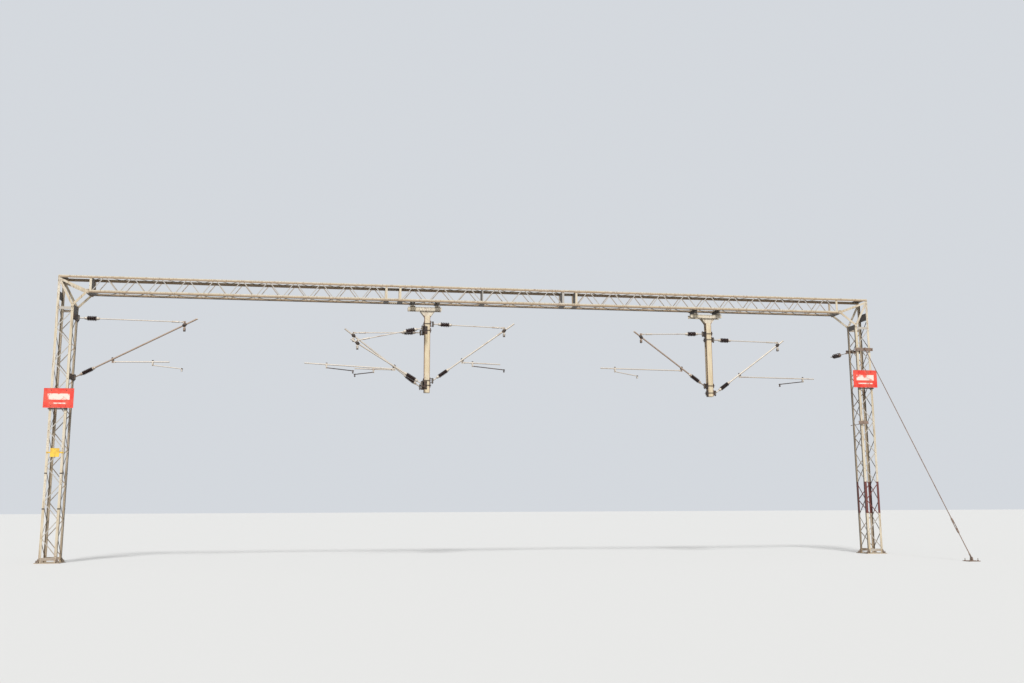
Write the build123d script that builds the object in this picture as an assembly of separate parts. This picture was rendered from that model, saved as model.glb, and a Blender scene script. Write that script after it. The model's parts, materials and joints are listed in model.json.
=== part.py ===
from build123d import *
import math
import os

# Railway catenary mast of portal form: two lattice uprights, a lattice boom in three lengths,
# two drop arms, six swivelling cantilevers and one guyed anchor upright.
# Millimetres. X runs along the boom, +Y is square to it and away from the viewer, Z is up.
# The origin is the middle of the left base plate's underside.

# Frame
span = 28130                  # between the middles of the two uprights
boom_top = 9345               # above the base plates' undersides
boom_height = 570
frame_depth = 620             # uprights and boom, outside, from near face to far face
upright_width = 545           # outside, along the boom
leg_size = 80                 # angle section of the uprights' legs
chord_size = 85               # angle section of the boom's chords
angle_wall = 10               # wall of the legs and the chords
knee_drop = 385               # from the boom's underside down to the inner legs' tops
left_boom_end = 750           # from an upright's middle to the boom's end post
right_boom_end = 950
left_knee_reach = 675         # from an upright's middle to the knee's end on the bottom chord
right_knee_reach = 845
rail_level = 700              # zero of the cantilevers' heights, above the base plates' undersides

# Boom lengths and lacing
left_splice = 10740
right_splice = 17005
splice_half = 240             # from a splice to the end post on each side of it
splice_plate_length = 360
splice_plate_wall = 8
splice_plate_gap = 1          # between a splice plate and the chord's flat flange
splice_plate_inset = 6        # from the chord's edge to the splice plate's edge
bay_pitch = 885
lacing_width = 28
lacing_wall = 12
lacing_inset = 40             # from a chord's or leg's outer edge to the lacing's end
end_post_width = 75
middle_post_width = 30        # of the post halfway along the middle length
post_overlap = 10             # of an end post past the diagonals' ends
lacing_gap = 70               # between the two diagonals that meet at a chord
diaphragm_wall = 10           # plate across the boom at each end post
cross_batten_length = 180     # plate under the boom at each end post
knee_batten_length = 290      # the longer one where the knee meets the boom
knee_batten_shift = 50        # its middle, from the knee's end
knee_overhang = 75            # of the bottom chord past the knee's end
left_corner_batten = 200      # plate across the boom over an upright
right_corner_batten = 350
upright_pitch = 560           # height of one diagonal of an upright
batten_height = 90
strut_drop = 150              # from an inner leg's top to the middle of the strut below the knee
lacing_start = 220
left_inner_batten = 350       # height of the side plate between the tops of the inner legs
right_inner_batten = 180
inner_batten_drop = 20        # from the inner legs' tops
outer_batten_height = 270
outer_batten_lift = 170       # above the inner legs' tops

# Base plates
base_margin = 105             # from the legs to the plate's edge
base_wall = 20
base_bolt_margin = 50         # from the plate's edge to a bolt's middle
base_bolt_hole = 15           # radius

# Knees
knee_width = 75
knee_wall = 10
knee_inset = 45               # from an outer edge to the middle line of a knee member
gusset_size = 150

# Drop arms
arm_places = {"first": 11945, "second": 22220}
arm_size = 200
arm_flange = 14
arm_web = 10
arm_bottom = 5620
arm_cap_wall = 12
hanger_shift = 95             # of a hanger towards the left upright, from its arm
hanger_length = 1180          # long channels, along the boom
hanger_overhang = 35          # of the cross channels past the boom's faces
cross_spacing = 860           # between the middles of the two pairs of cross channels
cross_height = 160
cross_width = 80
cross_gap = 20                # between the two channels of a pair
channel_height = 110
channel_width = 50
channel_wall = 8
head_length = 520
head_wall = 14
gusset_drop = 210
hanger_track = 200            # between the inner edges of the long channels

# Swivel brackets
pin_offset = 100              # from the carrier's face to the pin's axis
pin_radius = 15
pin_clearance = 0.3
ear_wall = 14
ear_width = 70
eye_height = 130
eye_radius = 32
eye_clearance = 0.5
bracket_plate = 22
bracket_height = 190
bracket_width = 260
back_plate_inset = 25         # of a clamp's back plate from the front plate's edges
bolt_radius = 9
bolt_margin = 16              # from the arm's flange to a clamp bolt's axis
cross_arm_spread = 900        # between the two pins of a double bracket
cross_arm_margin = 20         # of a double bracket's plate past its ears

# Cantilever sections
bracket_tube_radius = 27
stay_tube_radius = 17
register_tube_radius = 20
steady_radius = 16
steady_overhang = 30          # of a steady arm past its clip
fork_radius = 20
cap_radius = 48
cap_length = 62
insulator_start = 210         # from a pin's axis to the insulator's first cap
bracket_insulator_length = 340
stay_insulator_length = 300
bracket_core_radius = 46
bracket_shed_radius = 76
bracket_sheds = 8
stay_core_radius = 44
stay_shed_radius = 86
stay_sheds = 5
lug_wall = 14
lug_width = 70
stay_lug_height = 98          # above the bracket tube's axis
register_drop = 92            # register tube's bolt below the bracket tube's axis
wire_drop = 170               # hanging clamp's hole below the bracket tube's axis
wire_clamp_length = 110
wire_clamp_size = 56
catenary_radius = 6
contact_radius = 6
drop_bracket = 110            # steady arm's pin below the register tube's axis
drop_wall = 8
drop_width = 50
saddle_radius = 33            # clamp on the register tube, over the steady arm's pin
saddle_length = 70
steady_pin_radius = 8
steady_eye_radius = 22
steady_eye_width = 44
clip_height = 74
clip_size = 34
adjuster_radius = 27
adjuster_length = 210
collar_length = 60
collar_radius = 34

# Anchor on the right upright and its guy
anchor_height = 7430
anchor_bar_length = 700
guy_radius = 14
anchor_lug = 110              # reach and width of the lugs that hold the guy and the strain link
anchor_lug_wall = 20
guy_tongue_width = 60
guy_tongue_wall = 14
guy_run = 5600                # from the anchor bar to the guy's foot, along Y
turnbuckle_place = 1500       # from the foot's bolt
guy_foot_size = 360
guy_foot_wall = 20
guy_bolt_pitch = 260
turnbuckle_radius = 30
turnbuckle_length = 520
strain_shift = 200            # from the upright's middle to the strain lug
strain_drop = 40              # from the anchor bar's middle to the strain lug's middle
strain_distance = 560         # from the strain lug's bolt to the insulator
strain_length = 400
strain_rod_radius = 9
strain_eye_reach = 150        # from the insulator to the open hole at its end
strain_eye_radius = 11
strain_turn = 8.5             # degrees towards the left upright
lower_clamp_height = 4655
lower_clamp_length = 380
lower_clamp_shift = 190       # from the upright's middle towards the left upright

# Boards
board_width = 930
board_height = 640
board_wall = 4
left_board_height = 5250      # middle of the board
right_board_height = 6330
plate_size = 280
plate_height = 3490
strap_height = 45             # of the bar that holds the number plate on the legs
strap_wall = 6
strap_inset = 12              # from the legs' outer edges to the bar's ends

half_width = upright_width / 2
half_depth = frame_depth / 2
boom_bottom = boom_top - boom_height
inner_leg_top = boom_bottom - knee_drop

# One entry for each cantilever. Side is +1 towards the right upright. Heights are above the level
# given above, and reaches are from the swivel pins: of the bracket tube's clamp, of the register
# tube's bolt and end, and of the steady arm's pin and tip. Pins are the heights of the two swivel
# pins, and tail is the bracket tube's length beyond the clamp.
cantilevers = {
    "left": dict(side=1, carrier="upright", track=0, pins=(5274, 7262), clamp=(3396, 7108), tail=470,
                 register=(1160, 2960, 5837), steady=(2433, 3375, 5538), swing=(-15, 15)),
    "first_right": dict(side=1, carrier="first", track=0, pins=(5345, 7345), clamp=(2524, 7167), tail=440,
                        register=(1040, 2375, 5958), steady=(1400, 2513, 5695), swing=(-15, 15)),
    "first_near": dict(side=-1, carrier="first", track=-1, pins=(5175, 7110), clamp=(2206, 6541), tail=260,
                       register=(950, 3954, 5822), steady=(3223, 2339, 5509), swing=(-6, 15)),
    "first_far": dict(side=-1, carrier="first", track=1, pins=(5175, 7110), clamp=(2340, 6955), tail=380,
                      register=(901, 2270, 5789), steady=(1626, 2268, 5509), swing=(-15, 6)),
    "second_left": dict(side=-1, carrier="second", track=0, pins=(5310, 7225), clamp=(2335, 7063), tail=330,
                        register=(850, 3854, 5895), steady=(3332, 2517, 5560), swing=(-15, 15)),
    "second_right": dict(side=1, carrier="second", track=0, pins=(5050, 7010), clamp=(2474, 6866), tail=290,
                         register=(960, 3827, 5629), steady=(3400, 2493, 5341), swing=(-15, 15)),
}


def block(x0, x1, y0, y1, z0, z1):
    middle = Pos((x0 + x1) / 2, (y0 + y1) / 2, (z0 + z1) / 2)
    return middle * Box(abs(x1 - x0), abs(y1 - y0), abs(z1 - z0))


def joined(pieces):
    return Part() + pieces


def flat_bar(start, end, width, wall, normal):
    start, end = Vector(*start), Vector(*end)
    along = end - start
    plane = Plane(origin=(start + end) * 0.5, x_dir=along, z_dir=normal)
    return plane * Box(along.length, width, wall)


def rod(start, end, radius):
    start, end = Vector(*start), Vector(*end)
    along = end - start
    plane = Plane(origin=start, z_dir=along)
    return plane * Cylinder(radius, along.length, align=(Align.CENTER, Align.CENTER, Align.MIN))


def upright_angle(x, y, z0, z1, to_x, to_y):
    # Corner at x, y and flanges that reach towards to_x and to_y.
    face = block(x, x + to_x * leg_size, y, y + to_y * angle_wall, z0, z1)
    side = block(x, x + to_x * angle_wall, y, y + to_y * leg_size, z0, z1)
    return face + side


def chord_angle(x0, x1, y, z, to_y, to_z):
    face = block(x0, x1, y, y + to_y * angle_wall, z, z + to_z * chord_size)
    flat = block(x0, x1, y, y + to_y * chord_size, z, z + to_z * angle_wall)
    return face + flat


def zigzag(first, last, pitch):
    # Evenly spaced stations, an odd or even number as the length asks.
    count = max(2, round((last - first) / pitch))
    return [first + (last - first) * i / count for i in range(count + 1)]


def upright_face(middle, side, outer):
    # Two legs and their lacing on the near (side -1) or far (side 1) face.
    y = side * half_depth
    inner = -outer
    bar_y = y - side * (angle_wall + lacing_wall / 2)
    pieces = [
        upright_angle(middle + outer * half_width, y, base_wall, boom_top - chord_size, -outer, -side),
        upright_angle(middle + inner * half_width, y, base_wall, inner_leg_top, -inner, -side),
    ]
    reach = half_width - lacing_inset
    strut = inner_leg_top - strut_drop
    stations = zigzag(lacing_start, strut - batten_height, upright_pitch)
    for i, (low, high) in enumerate(zip(stations, stations[1:])):
        lean = reach if i % 2 else -reach
        start = (middle - lean, bar_y, low)
        end = (middle + lean, bar_y, high)
        pieces.append(flat_bar(start, end, lacing_width, lacing_wall, (0, 1, 0)))
    for height in (lacing_start - batten_height, strut):
        start = (middle - reach, bar_y, height)
        end = (middle + reach, bar_y, height)
        pieces.append(flat_bar(start, end, batten_height, lacing_wall, (0, 1, 0)))
    return joined(pieces)


def upright_sides(middle, outer, inner_batten):
    # Lacing of the two sides that face along the boom, each up to a plate between its legs.
    reach = half_depth - lacing_inset
    inner_top = inner_leg_top - inner_batten_drop
    outer_low = inner_leg_top + outer_batten_lift
    plates = ((outer, outer_low, outer_low + outer_batten_height),
              (-outer, inner_top - inner_batten, inner_top))
    solids = []
    for side, plate_low, plate_high in plates:
        face = middle + side * (half_width - angle_wall)
        x = face - side * lacing_wall / 2
        pieces = [block(face, face - side * lacing_wall, -reach, reach, plate_low, plate_high)]
        stations = zigzag(lacing_start, plate_low + lacing_width, upright_pitch)
        for i, (low, high) in enumerate(zip(stations, stations[1:])):
            lean = reach if i % 2 else -reach
            pieces.append(flat_bar((x, -lean, low), (x, lean, high), lacing_width, lacing_wall, (1, 0, 0)))
        solids.append(joined(pieces))
    return Compound(children=solids)


def base_bolt_places():
    # Distances of the foundation bolts from an upright's middle, along X and Y.
    return half_width + base_margin - base_bolt_margin, half_depth + base_margin - base_bolt_margin


def base_plates():
    across, along = half_width + base_margin, half_depth + base_margin
    bolt_x, bolt_y = base_bolt_places()
    plates = []
    for middle in (0, span):
        plate = block(middle - across, middle + across, -along, along, 0, base_wall)
        for x in (-bolt_x, bolt_x):
            for y in (-bolt_y, bolt_y):
                plate -= Pos(middle + x, y, base_wall / 2) * Cylinder(base_bolt_hole, base_wall * 2)
        plates.append(plate)
    return Compound(children=plates)


def boom_bays(first, last, sections=1):
    # Posts at the ends of each section, and panel points at even distances between them.
    count = sections * max(2, round((last - first) / sections / bay_pitch))
    return [first + (last - first) * i / count for i in range(count + 1)]


def truss_face(side, top_ends, bottom_ends, posts, uprights):
    # Top and bottom chord with a few upright posts, and diagonals that rise and fall in each bay.
    y = side * half_depth
    bar_y = y - side * (angle_wall + lacing_wall / 2)
    pieces = [
        chord_angle(top_ends[0], top_ends[1], y, boom_top, -side, -1),
        chord_angle(bottom_ends[0], bottom_ends[1], y, boom_bottom, -side, 1),
    ]
    low = boom_bottom + lacing_inset
    high = boom_top - lacing_inset
    for x, width in uprights.items():
        pieces.append(flat_bar((x, bar_y, low - post_overlap), (x, bar_y, high + post_overlap),
                               width, lacing_wall, (0, 1, 0)))
    for left, right in zip(posts, posts[1:]):
        middle = (left + right) / 2
        up = ((left + lacing_gap / 2, bar_y, low), (middle - lacing_gap / 2, bar_y, high))
        down = ((middle + lacing_gap / 2, bar_y, high), (right - lacing_gap / 2, bar_y, low))
        for start, end in (up, down):
            pieces.append(flat_bar(start, end, lacing_width, lacing_wall, (0, 1, 0)))
    return joined(pieces)


def cross_lacing(posts, walls, knee, corner):
    # Zigzags that join the near and far trusses at the top and at the bottom. At each of walls is a
    # plate across the boom with a batten under it, and at the knee's end a longer batten.
    reach = half_depth - lacing_inset
    inside = half_depth - angle_wall - lacing_wall
    top = boom_top - angle_wall
    bottom = boom_bottom + angle_wall
    pieces = []
    for z, shift in ((top - lacing_wall / 2, 0), (bottom + lacing_wall / 2, 1)):
        for left, right in zip(posts, posts[1:]):
            middle = (left + right) / 2
            for j, (start, end) in enumerate(((left, middle), (middle, right))):
                lean = reach if (j + shift) % 2 else -reach
                ends = (start, -lean, z), (end, lean, z)
                pieces.append(flat_bar(*ends, lacing_width, lacing_wall, (0, 0, 1)))
    battens = {x: cross_batten_length / 2 for x in walls}
    if knee is not None:
        battens[knee] = knee_batten_length / 2
    for x in walls:
        pieces.append(block(x - diaphragm_wall / 2, x + diaphragm_wall / 2, -inside, inside, bottom, top))
    for x, half in battens.items():
        pieces.append(block(x - half, x + half, -reach, reach, bottom, bottom + lacing_wall))
    solids = [joined(pieces)]
    if corner is not None:
        # A plate between the top chords' ends, over the upright.
        solids.append(block(*corner, -reach, reach, top - lacing_wall, top))
    return Compound(children=solids)


def splice_plates():
    # Flat cover plates inside the chords' upright flanges, across each splice.
    flat = angle_wall + splice_plate_gap
    edge = chord_size - splice_plate_inset
    plates = []
    for x in (left_splice, right_splice):
        for side in (-1, 1):
            inside = side * (half_depth - angle_wall)
            for low, high in ((boom_top - edge, boom_top - flat), (boom_bottom + flat, boom_bottom + edge)):
                plates.append(block(x - splice_plate_length / 2, x + splice_plate_length / 2,
                                    inside, inside - side * splice_plate_wall, low, high))
    return Compound(children=plates)


def knee_frame(middle, outer, knee_reach):
    # Bars and gussets on the outside of both faces, and ties between the faces.
    inner = -outer
    corner = (middle + outer * (half_width - knee_inset), boom_top - chord_size - knee_inset)
    leg_top = (middle + inner * (half_width - knee_inset), inner_leg_top - knee_inset)
    chord_end = (middle + inner * knee_reach, boom_bottom + knee_inset)
    solids = []
    for side in (-1, 1):
        y = side * (half_depth + knee_wall / 2)
        pieces = []
        for start, end in ((corner, leg_top), (corner, chord_end), (leg_top, chord_end)):
            ends = (start[0], y, start[1]), (end[0], y, end[1])
            pieces.append(flat_bar(*ends, knee_width, knee_wall, (0, 1, 0)))
        for x, z in (corner, leg_top, chord_end):
            pieces.append(Pos(x, y, z) * Box(knee_inset * 2, knee_wall, gusset_size))
        solids.append(joined(pieces))
    inside = half_depth - angle_wall
    for x, z in (corner, leg_top, chord_end):
        tie = (knee_inset - angle_wall) / 2
        solids.append(block(x - tie, x + tie, -inside, inside, z - tie, z + tie))
    return Compound(children=solids)


def channel_x(x0, x1, y, z0, opening):
    # Channel along X: web at y, flanges that reach towards opening.
    top = z0 + channel_height
    web = block(x0, x1, y, y + opening * channel_wall, z0, top)
    low = block(x0, x1, y, y + opening * channel_width, z0, z0 + channel_wall)
    high = block(x0, x1, y, y + opening * channel_width, top - channel_wall, top)
    return joined([web, low, high])


def cross_channel(y0, y1, x, z0, opening):
    # Channel along Y: web at x, flanges that reach towards opening.
    top = z0 + cross_height
    web = block(x, x + opening * channel_wall, y0, y1, z0, top)
    low = block(x, x + opening * cross_width, y0, y1, z0, z0 + channel_wall)
    high = block(x, x + opening * cross_width, y0, y1, top - channel_wall, top)
    return joined([web, low, high])


def arm_hanger(x):
    # Two pairs of cross channels under the boom's bottom chords, and two long channels under those.
    middle = x - hanger_shift
    cross_z = boom_bottom - cross_height
    long_z = cross_z - channel_height
    half_cross = half_depth + hanger_overhang
    pieces = []
    for side in (-1, 1):
        pair = middle + side * cross_spacing / 2
        for opening in (-1, 1):
            web = pair + opening * cross_gap / 2
            pieces.append(cross_channel(-half_cross, half_cross, web, cross_z, opening))
        pieces.append(channel_x(middle - hanger_length / 2, middle + hanger_length / 2,
                                side * (hanger_track / 2 + channel_width), long_z, -side))
    return joined(pieces)


def drop_arm(x):
    top = boom_bottom - cross_height - channel_height
    half = arm_size / 2
    head_depth = hanger_track / 2 + channel_width
    low = arm_bottom + arm_cap_wall
    pieces = [
        block(x - head_length / 2, x + head_length / 2, -head_depth, head_depth, top - head_wall, top),
        block(x - half, x + half, -half, -half + arm_flange, low, top - head_wall),
        block(x - half, x + half, half - arm_flange, half, low, top - head_wall),
        block(x - arm_web / 2, x + arm_web / 2, -half, half, low, top - head_wall),
        block(x - half, x + half, -half, half, arm_bottom, low),
    ]
    # Tapering gussets on both flanges.
    under = top - head_wall
    for side in (-1, 1):
        outline = Polyline((x - head_length / 2, 0, under), (x + head_length / 2, 0, under),
                           (x + half, 0, under - gusset_drop), (x - half, 0, under - gusset_drop), close=True)
        plate = extrude(make_face(outline), amount=arm_flange / 2, both=True)
        pieces.append(Pos(0, side * (half - arm_flange / 2), 0) * plate)
    return joined(pieces)


def pin_place(values):
    # Axis of the swivel pins: X and Y.
    if values["carrier"] == "upright":
        x = half_width + pin_offset
    else:
        x = arm_places[values["carrier"]] + values["side"] * (arm_size / 2 + pin_offset)
    return x, values["track"] * cross_arm_spread / 2


def swivel_ears(x, y, z, side):
    # Two ears with a pin between them, from the bracket plate out to the pin.
    back = x - side * (pin_offset - bracket_plate)
    pieces = [rod((x, y, z - eye_height / 2 - eye_clearance - ear_wall),
                  (x, y, z + eye_height / 2 + eye_clearance + ear_wall), pin_radius)]
    for low in (z - eye_height / 2 - eye_clearance - ear_wall, z + eye_height / 2 + eye_clearance):
        pieces.append(block(back, x, y - ear_width / 2, y + ear_width / 2, low, low + ear_wall))
        pieces.append(rod((x, y, low), (x, y, low + ear_wall), ear_width / 2))
    return pieces


def upright_bracket(values, z):
    # A plate across the two inner legs, with the swivel ears in the middle.
    x, y = pin_place(values)
    plate = block(half_width, half_width + bracket_plate, -half_depth, half_depth,
                  z - bracket_height / 2, z + bracket_height / 2)
    return joined([plate] + swivel_ears(x, y, z, 1))


def clamp_bracket(carrier, side, pins):
    # Front and back plates bolted round the drop arm. A double bracket has a long front plate.
    arm = arm_places[carrier]
    face = arm + side * arm_size / 2
    back = arm - side * arm_size / 2
    width = bracket_width / 2
    if len(pins) > 1:
        width = cross_arm_spread / 2 + ear_width / 2 + cross_arm_margin
    low = min(z for x, y, z in pins) - bracket_height / 2
    high = max(z for x, y, z in pins) + bracket_height / 2
    pieces = [
        block(face, face + side * bracket_plate, -width, width, low, high),
        block(back, back - side * bracket_plate, -bracket_width / 2, bracket_width / 2,
              low + back_plate_inset, high - back_plate_inset),
    ]
    for bolt_y in (-arm_size / 2 - bolt_margin, arm_size / 2 + bolt_margin):
        bolt_z = (low + high) / 2
        pieces.append(rod((face + side * bracket_plate, bolt_y, bolt_z),
                          (back - side * bracket_plate, bolt_y, bolt_z), bolt_radius))
    for x, y, z in pins:
        pieces += swivel_ears(x, y, z, side)
    return joined(pieces)


def swivel_brackets():
    # One bracket for each level of each side of a carrier.
    groups = {}
    for values in cantilevers.values():
        groups.setdefault((values["carrier"], values["side"]), []).append(values)
    solids = []
    for (carrier, side), members in groups.items():
        for level in (0, 1):
            pins = [(*pin_place(m), rail_level + m["pins"][level]) for m in members]
            if carrier == "upright":
                solids.append(upright_bracket(members[0], pins[0][2]))
            else:
                solids.append(clamp_bracket(carrier, side, pins))
    return Compound(children=solids)


class Cantilever:
    # Places of one cantilever, worked out once from its entry.
    def __init__(self, values):
        self.side = values["side"]
        self.x, self.y = pin_place(values)
        self.low, self.high = (rail_level + height for height in values["pins"])
        clamp_reach, clamp_height = values["clamp"]
        self.foot = Vector(self.x, self.y, self.low)
        self.head = Vector(self.x, self.y, self.high)
        self.clamp = self.at(clamp_reach, rail_level + clamp_height)
        self.along = (self.clamp - self.foot).normalized()
        self.tail = self.clamp + self.along * values["tail"]
        start, end, end_height = values["register"]
        self.grip = self.tube_at(start)
        self.register_start = self.grip - Vector(0, 0, register_drop)
        self.register_end = self.at(end, rail_level + end_height)
        pin, tip, tip_height = values["steady"]
        share = (pin - start) / (end - start)
        self.tube_over_pin = self.register_start + (self.register_end - self.register_start) * share
        self.steady_pin = self.tube_over_pin - Vector(0, 0, drop_bracket)
        self.tip = self.at(tip, rail_level + tip_height)
        self.swing = values["swing"]

    def at(self, reach, height):
        return Vector(self.x + self.side * reach, self.y, height)

    def tube_at(self, reach):
        # Point of the bracket tube's axis at a reach from the pins.
        return self.foot + self.along * (reach / abs(self.along.X))


def insulator(start, along, length, core, shed, count):
    # A core with sheds that lean towards the far end.
    points = [(0, 0), (core, 0)]
    pitch = length / count
    for i in range(count):
        base = i * pitch
        points += [(core, base + pitch * 0.25), (shed, base + pitch * 0.45), (shed, base + pitch * 0.6),
                   (core, base + pitch * 0.8)]
    points += [(core, length), (0, length)]
    outline = Polyline(*[(r, 0, z) for r, z in points], close=True)
    body = revolve(make_face(outline), Axis.Z)
    return Plane(origin=start, z_dir=along) * body


def swivel_eye(pin, along):
    # The sleeve on the swivel pin, and the forked stem with its cap.
    sleeve = rod(pin - Vector(0, 0, eye_height / 2), pin + Vector(0, 0, eye_height / 2), eye_radius)
    stem = rod(pin, pin + along * insulator_start, fork_radius)
    cap = rod(pin + along * insulator_start, pin + along * (insulator_start + cap_length), cap_radius)
    hole = rod(pin - Vector(0, 0, eye_height), pin + Vector(0, 0, eye_height), pin_radius + pin_clearance)
    return joined([sleeve, stem, cap]) - hole


def lug(place, toward):
    # A flat lug in the plane of the cantilever, from place to toward.
    return flat_bar(place, toward, lug_width, lug_wall, (0, 1, 0))


def bracket_tube(c):
    first_cap = insulator_start + cap_length
    second_cap = first_cap + bracket_insulator_length
    tube_start = c.foot + c.along * second_cap
    half_collar = c.along * collar_length / 2
    pieces = [
        rod(tube_start, tube_start + c.along * cap_length, cap_radius),
        rod(tube_start, c.tail, bracket_tube_radius),
        rod(c.clamp - half_collar, c.clamp + half_collar, collar_radius),
    ]
    # Lug for the stay above the tube, and the hanging clamp below it.
    up = Vector(0, 0, stay_lug_height + lug_width / 2)
    down = Vector(0, 0, wire_drop)
    pieces.append(lug(c.clamp, c.clamp + up))
    pieces.append(lug(c.clamp, c.clamp - down))
    seat = c.clamp - down
    half_length = wire_clamp_length / 2
    half_size = wire_clamp_size / 2
    pieces.append(block(seat.X - half_size, seat.X + half_size, seat.Y - half_length, seat.Y + half_length,
                        seat.Z - half_size, seat.Z + half_size))
    # Collar with a lug for the register tube.
    pieces.append(rod(c.grip - half_collar, c.grip + half_collar, collar_radius))
    pieces.append(lug(c.grip, c.register_start - Vector(0, 0, lug_width / 2)))
    past = Vector(0, wire_clamp_length, 0)
    wire = rod(seat - past, seat + past, catenary_radius)
    outer = joined(pieces) - wire
    return Compound(children=[swivel_eye(c.foot, c.along), outer])


def stay_line(c):
    end = c.clamp + Vector(0, 0, stay_lug_height)
    return end, (end - c.head).normalized()


def tongue(place, along, length):
    # Flat tongue that lies against a lug's side.
    shift = Vector(0, lug_wall, 0)
    return flat_bar(place + shift - along * length, place + shift + along * lug_width / 2,
                    lug_width * 0.8, lug_wall, (0, 1, 0))


def stay_tube(c):
    end, along = stay_line(c)
    first_cap = insulator_start + cap_length
    start = c.head + along * (first_cap + stay_insulator_length)
    stop = end - along * lug_width
    adjuster = stop - along * adjuster_length * 1.6
    pieces = [
        rod(start, start + along * cap_length, cap_radius),
        rod(start, stop, stay_tube_radius),
        rod(adjuster, adjuster + along * adjuster_length, adjuster_radius),
        tongue(end, along, lug_width * 1.4),
    ]
    return Compound(children=[swivel_eye(c.head, along), joined(pieces)])


def insulators(c):
    first_cap = insulator_start + cap_length
    end, along = stay_line(c)
    low = insulator(c.foot + c.along * first_cap, c.along, bracket_insulator_length,
                    bracket_core_radius, bracket_shed_radius, bracket_sheds)
    high = insulator(c.head + along * first_cap, along, stay_insulator_length,
                     stay_core_radius, stay_shed_radius, stay_sheds)
    return Compound(children=[low, high])


def register_tube(c):
    along = (c.register_end - c.register_start).normalized()
    start = c.register_start + along * lug_width
    pieces = [
        rod(start, c.register_end, register_tube_radius),
        tongue(c.register_start, along * -1, lug_width * 1.4),
    ]
    # A saddle on the tube and two cheeks with the steady arm's pin between them.
    pin = c.steady_pin
    saddle = along * saddle_length / 2
    pieces.append(rod(c.tube_over_pin - saddle, c.tube_over_pin + saddle, saddle_radius))
    cheek_y = steady_eye_width / 2 + eye_clearance + drop_wall / 2
    for side in (-1, 1):
        shift = Vector(0, side * cheek_y, 0)
        low = pin + shift - Vector(0, 0, steady_eye_radius)
        pieces.append(flat_bar(c.tube_over_pin + shift, low, drop_width, drop_wall, (0, 1, 0)))
    ends = Vector(0, cheek_y + drop_wall / 2, 0)
    pieces.append(rod(pin - ends, pin + ends, steady_pin_radius))
    return joined(pieces)


def steady_arm(c):
    pin, tip = c.steady_pin, c.tip
    along = (tip - pin).normalized()
    half = Vector(0, steady_eye_width / 2, 0)
    # The clip hangs below the arm's end, with its hole at the tip's height.
    arm_end = tip + Vector(0, 0, clip_height)
    arm_along = (arm_end - pin).normalized()
    wide = Vector(0, clip_size, 0)
    pieces = [
        rod(pin - half, pin + half, steady_eye_radius),
        rod(pin + arm_along * steady_eye_radius * 0.7, arm_end + arm_along * steady_overhang, steady_radius),
        block(tip.X - clip_size / 2, tip.X + clip_size / 2, tip.Y - clip_size / 2, tip.Y + clip_size / 2,
              tip.Z - clip_size / 2, arm_end.Z),
    ]
    pin_hole = rod(pin - half * 2, pin + half * 2, steady_pin_radius + pin_clearance)
    wire = rod(tip - wide, tip + wide, contact_radius)
    return joined(pieces) - pin_hole - wire


def anchor_bars():
    # Channels clamped across the right upright: near and far anchor bars and a short lower clamp.
    x0, x1 = span - anchor_bar_length / 2, span + anchor_bar_length / 2
    low = anchor_height - channel_height / 2
    face = half_depth + channel_width
    near = channel_x(x0, x1, -face, low, 1)
    near += block(span - anchor_lug_wall / 2, span + anchor_lug_wall / 2, -face - anchor_lug, -face,
                  anchor_height - anchor_lug / 2, anchor_height + anchor_lug / 2)
    far = channel_x(x0, x1, face, low, -1)
    lug_x = span - strain_shift
    lug_z = anchor_height - strain_drop
    far += block(lug_x - anchor_lug / 2, lug_x + anchor_lug / 2, face, face + anchor_lug,
                 lug_z - anchor_lug_wall / 2, lug_z + anchor_lug_wall / 2)
    clamp_x = span - lower_clamp_shift
    clamp = channel_x(clamp_x - lower_clamp_length / 2, clamp_x + lower_clamp_length / 2,
                      -face, lower_clamp_height, 1)
    return Compound(children=[near, far, clamp])


def guy_ends():
    # Bolts of the guy at the anchor bar and at its foot. The guy lies beside both lugs.
    x = span + (anchor_lug_wall + guy_tongue_wall) / 2
    top = Vector(x, -half_depth - channel_width - anchor_lug / 2, anchor_height)
    foot = Vector(x, top.Y - guy_run, guy_foot_wall + anchor_lug / 2)
    return top, foot


def guy_rod():
    top, foot = guy_ends()
    along = (foot - top).normalized()
    buckle = foot - along * turnbuckle_place
    clear = along * anchor_lug * 0.8
    past = along * anchor_lug * 0.3
    pieces = [
        rod(top + clear, foot - clear, guy_radius),
        rod(buckle, buckle + along * turnbuckle_length, turnbuckle_radius),
        flat_bar(top - past, top + clear * 1.6, guy_tongue_width, guy_tongue_wall, (1, 0, 0)),
        flat_bar(foot - clear * 1.6, foot + past, guy_tongue_width, guy_tongue_wall, (1, 0, 0)),
    ]
    return joined(pieces)


def guy_foot():
    top, foot = guy_ends()
    half = guy_foot_size / 2
    plate = block(span - half, span + half, foot.Y - half, foot.Y + half, 0, guy_foot_wall)
    for x in (-1, 1):
        for y in (-1, 1):
            place = Pos(span + x * guy_bolt_pitch / 2, foot.Y + y * guy_bolt_pitch / 2, guy_foot_wall / 2)
            plate -= place * Cylinder(base_bolt_hole, guy_foot_wall * 2)
    ear = block(span - anchor_lug_wall / 2, span + anchor_lug_wall / 2, foot.Y - anchor_lug / 2,
                foot.Y + anchor_lug / 2, guy_foot_wall, foot.Z + anchor_lug / 2)
    return plate + ear


def strain_line():
    start = Vector(span - strain_shift, half_depth + channel_width + anchor_lug / 2,
                   anchor_height - strain_drop + (anchor_lug_wall + guy_tongue_wall) / 2)
    turn = math.radians(strain_turn)
    return start, Vector(-math.sin(turn), math.cos(turn), 0)


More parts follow.
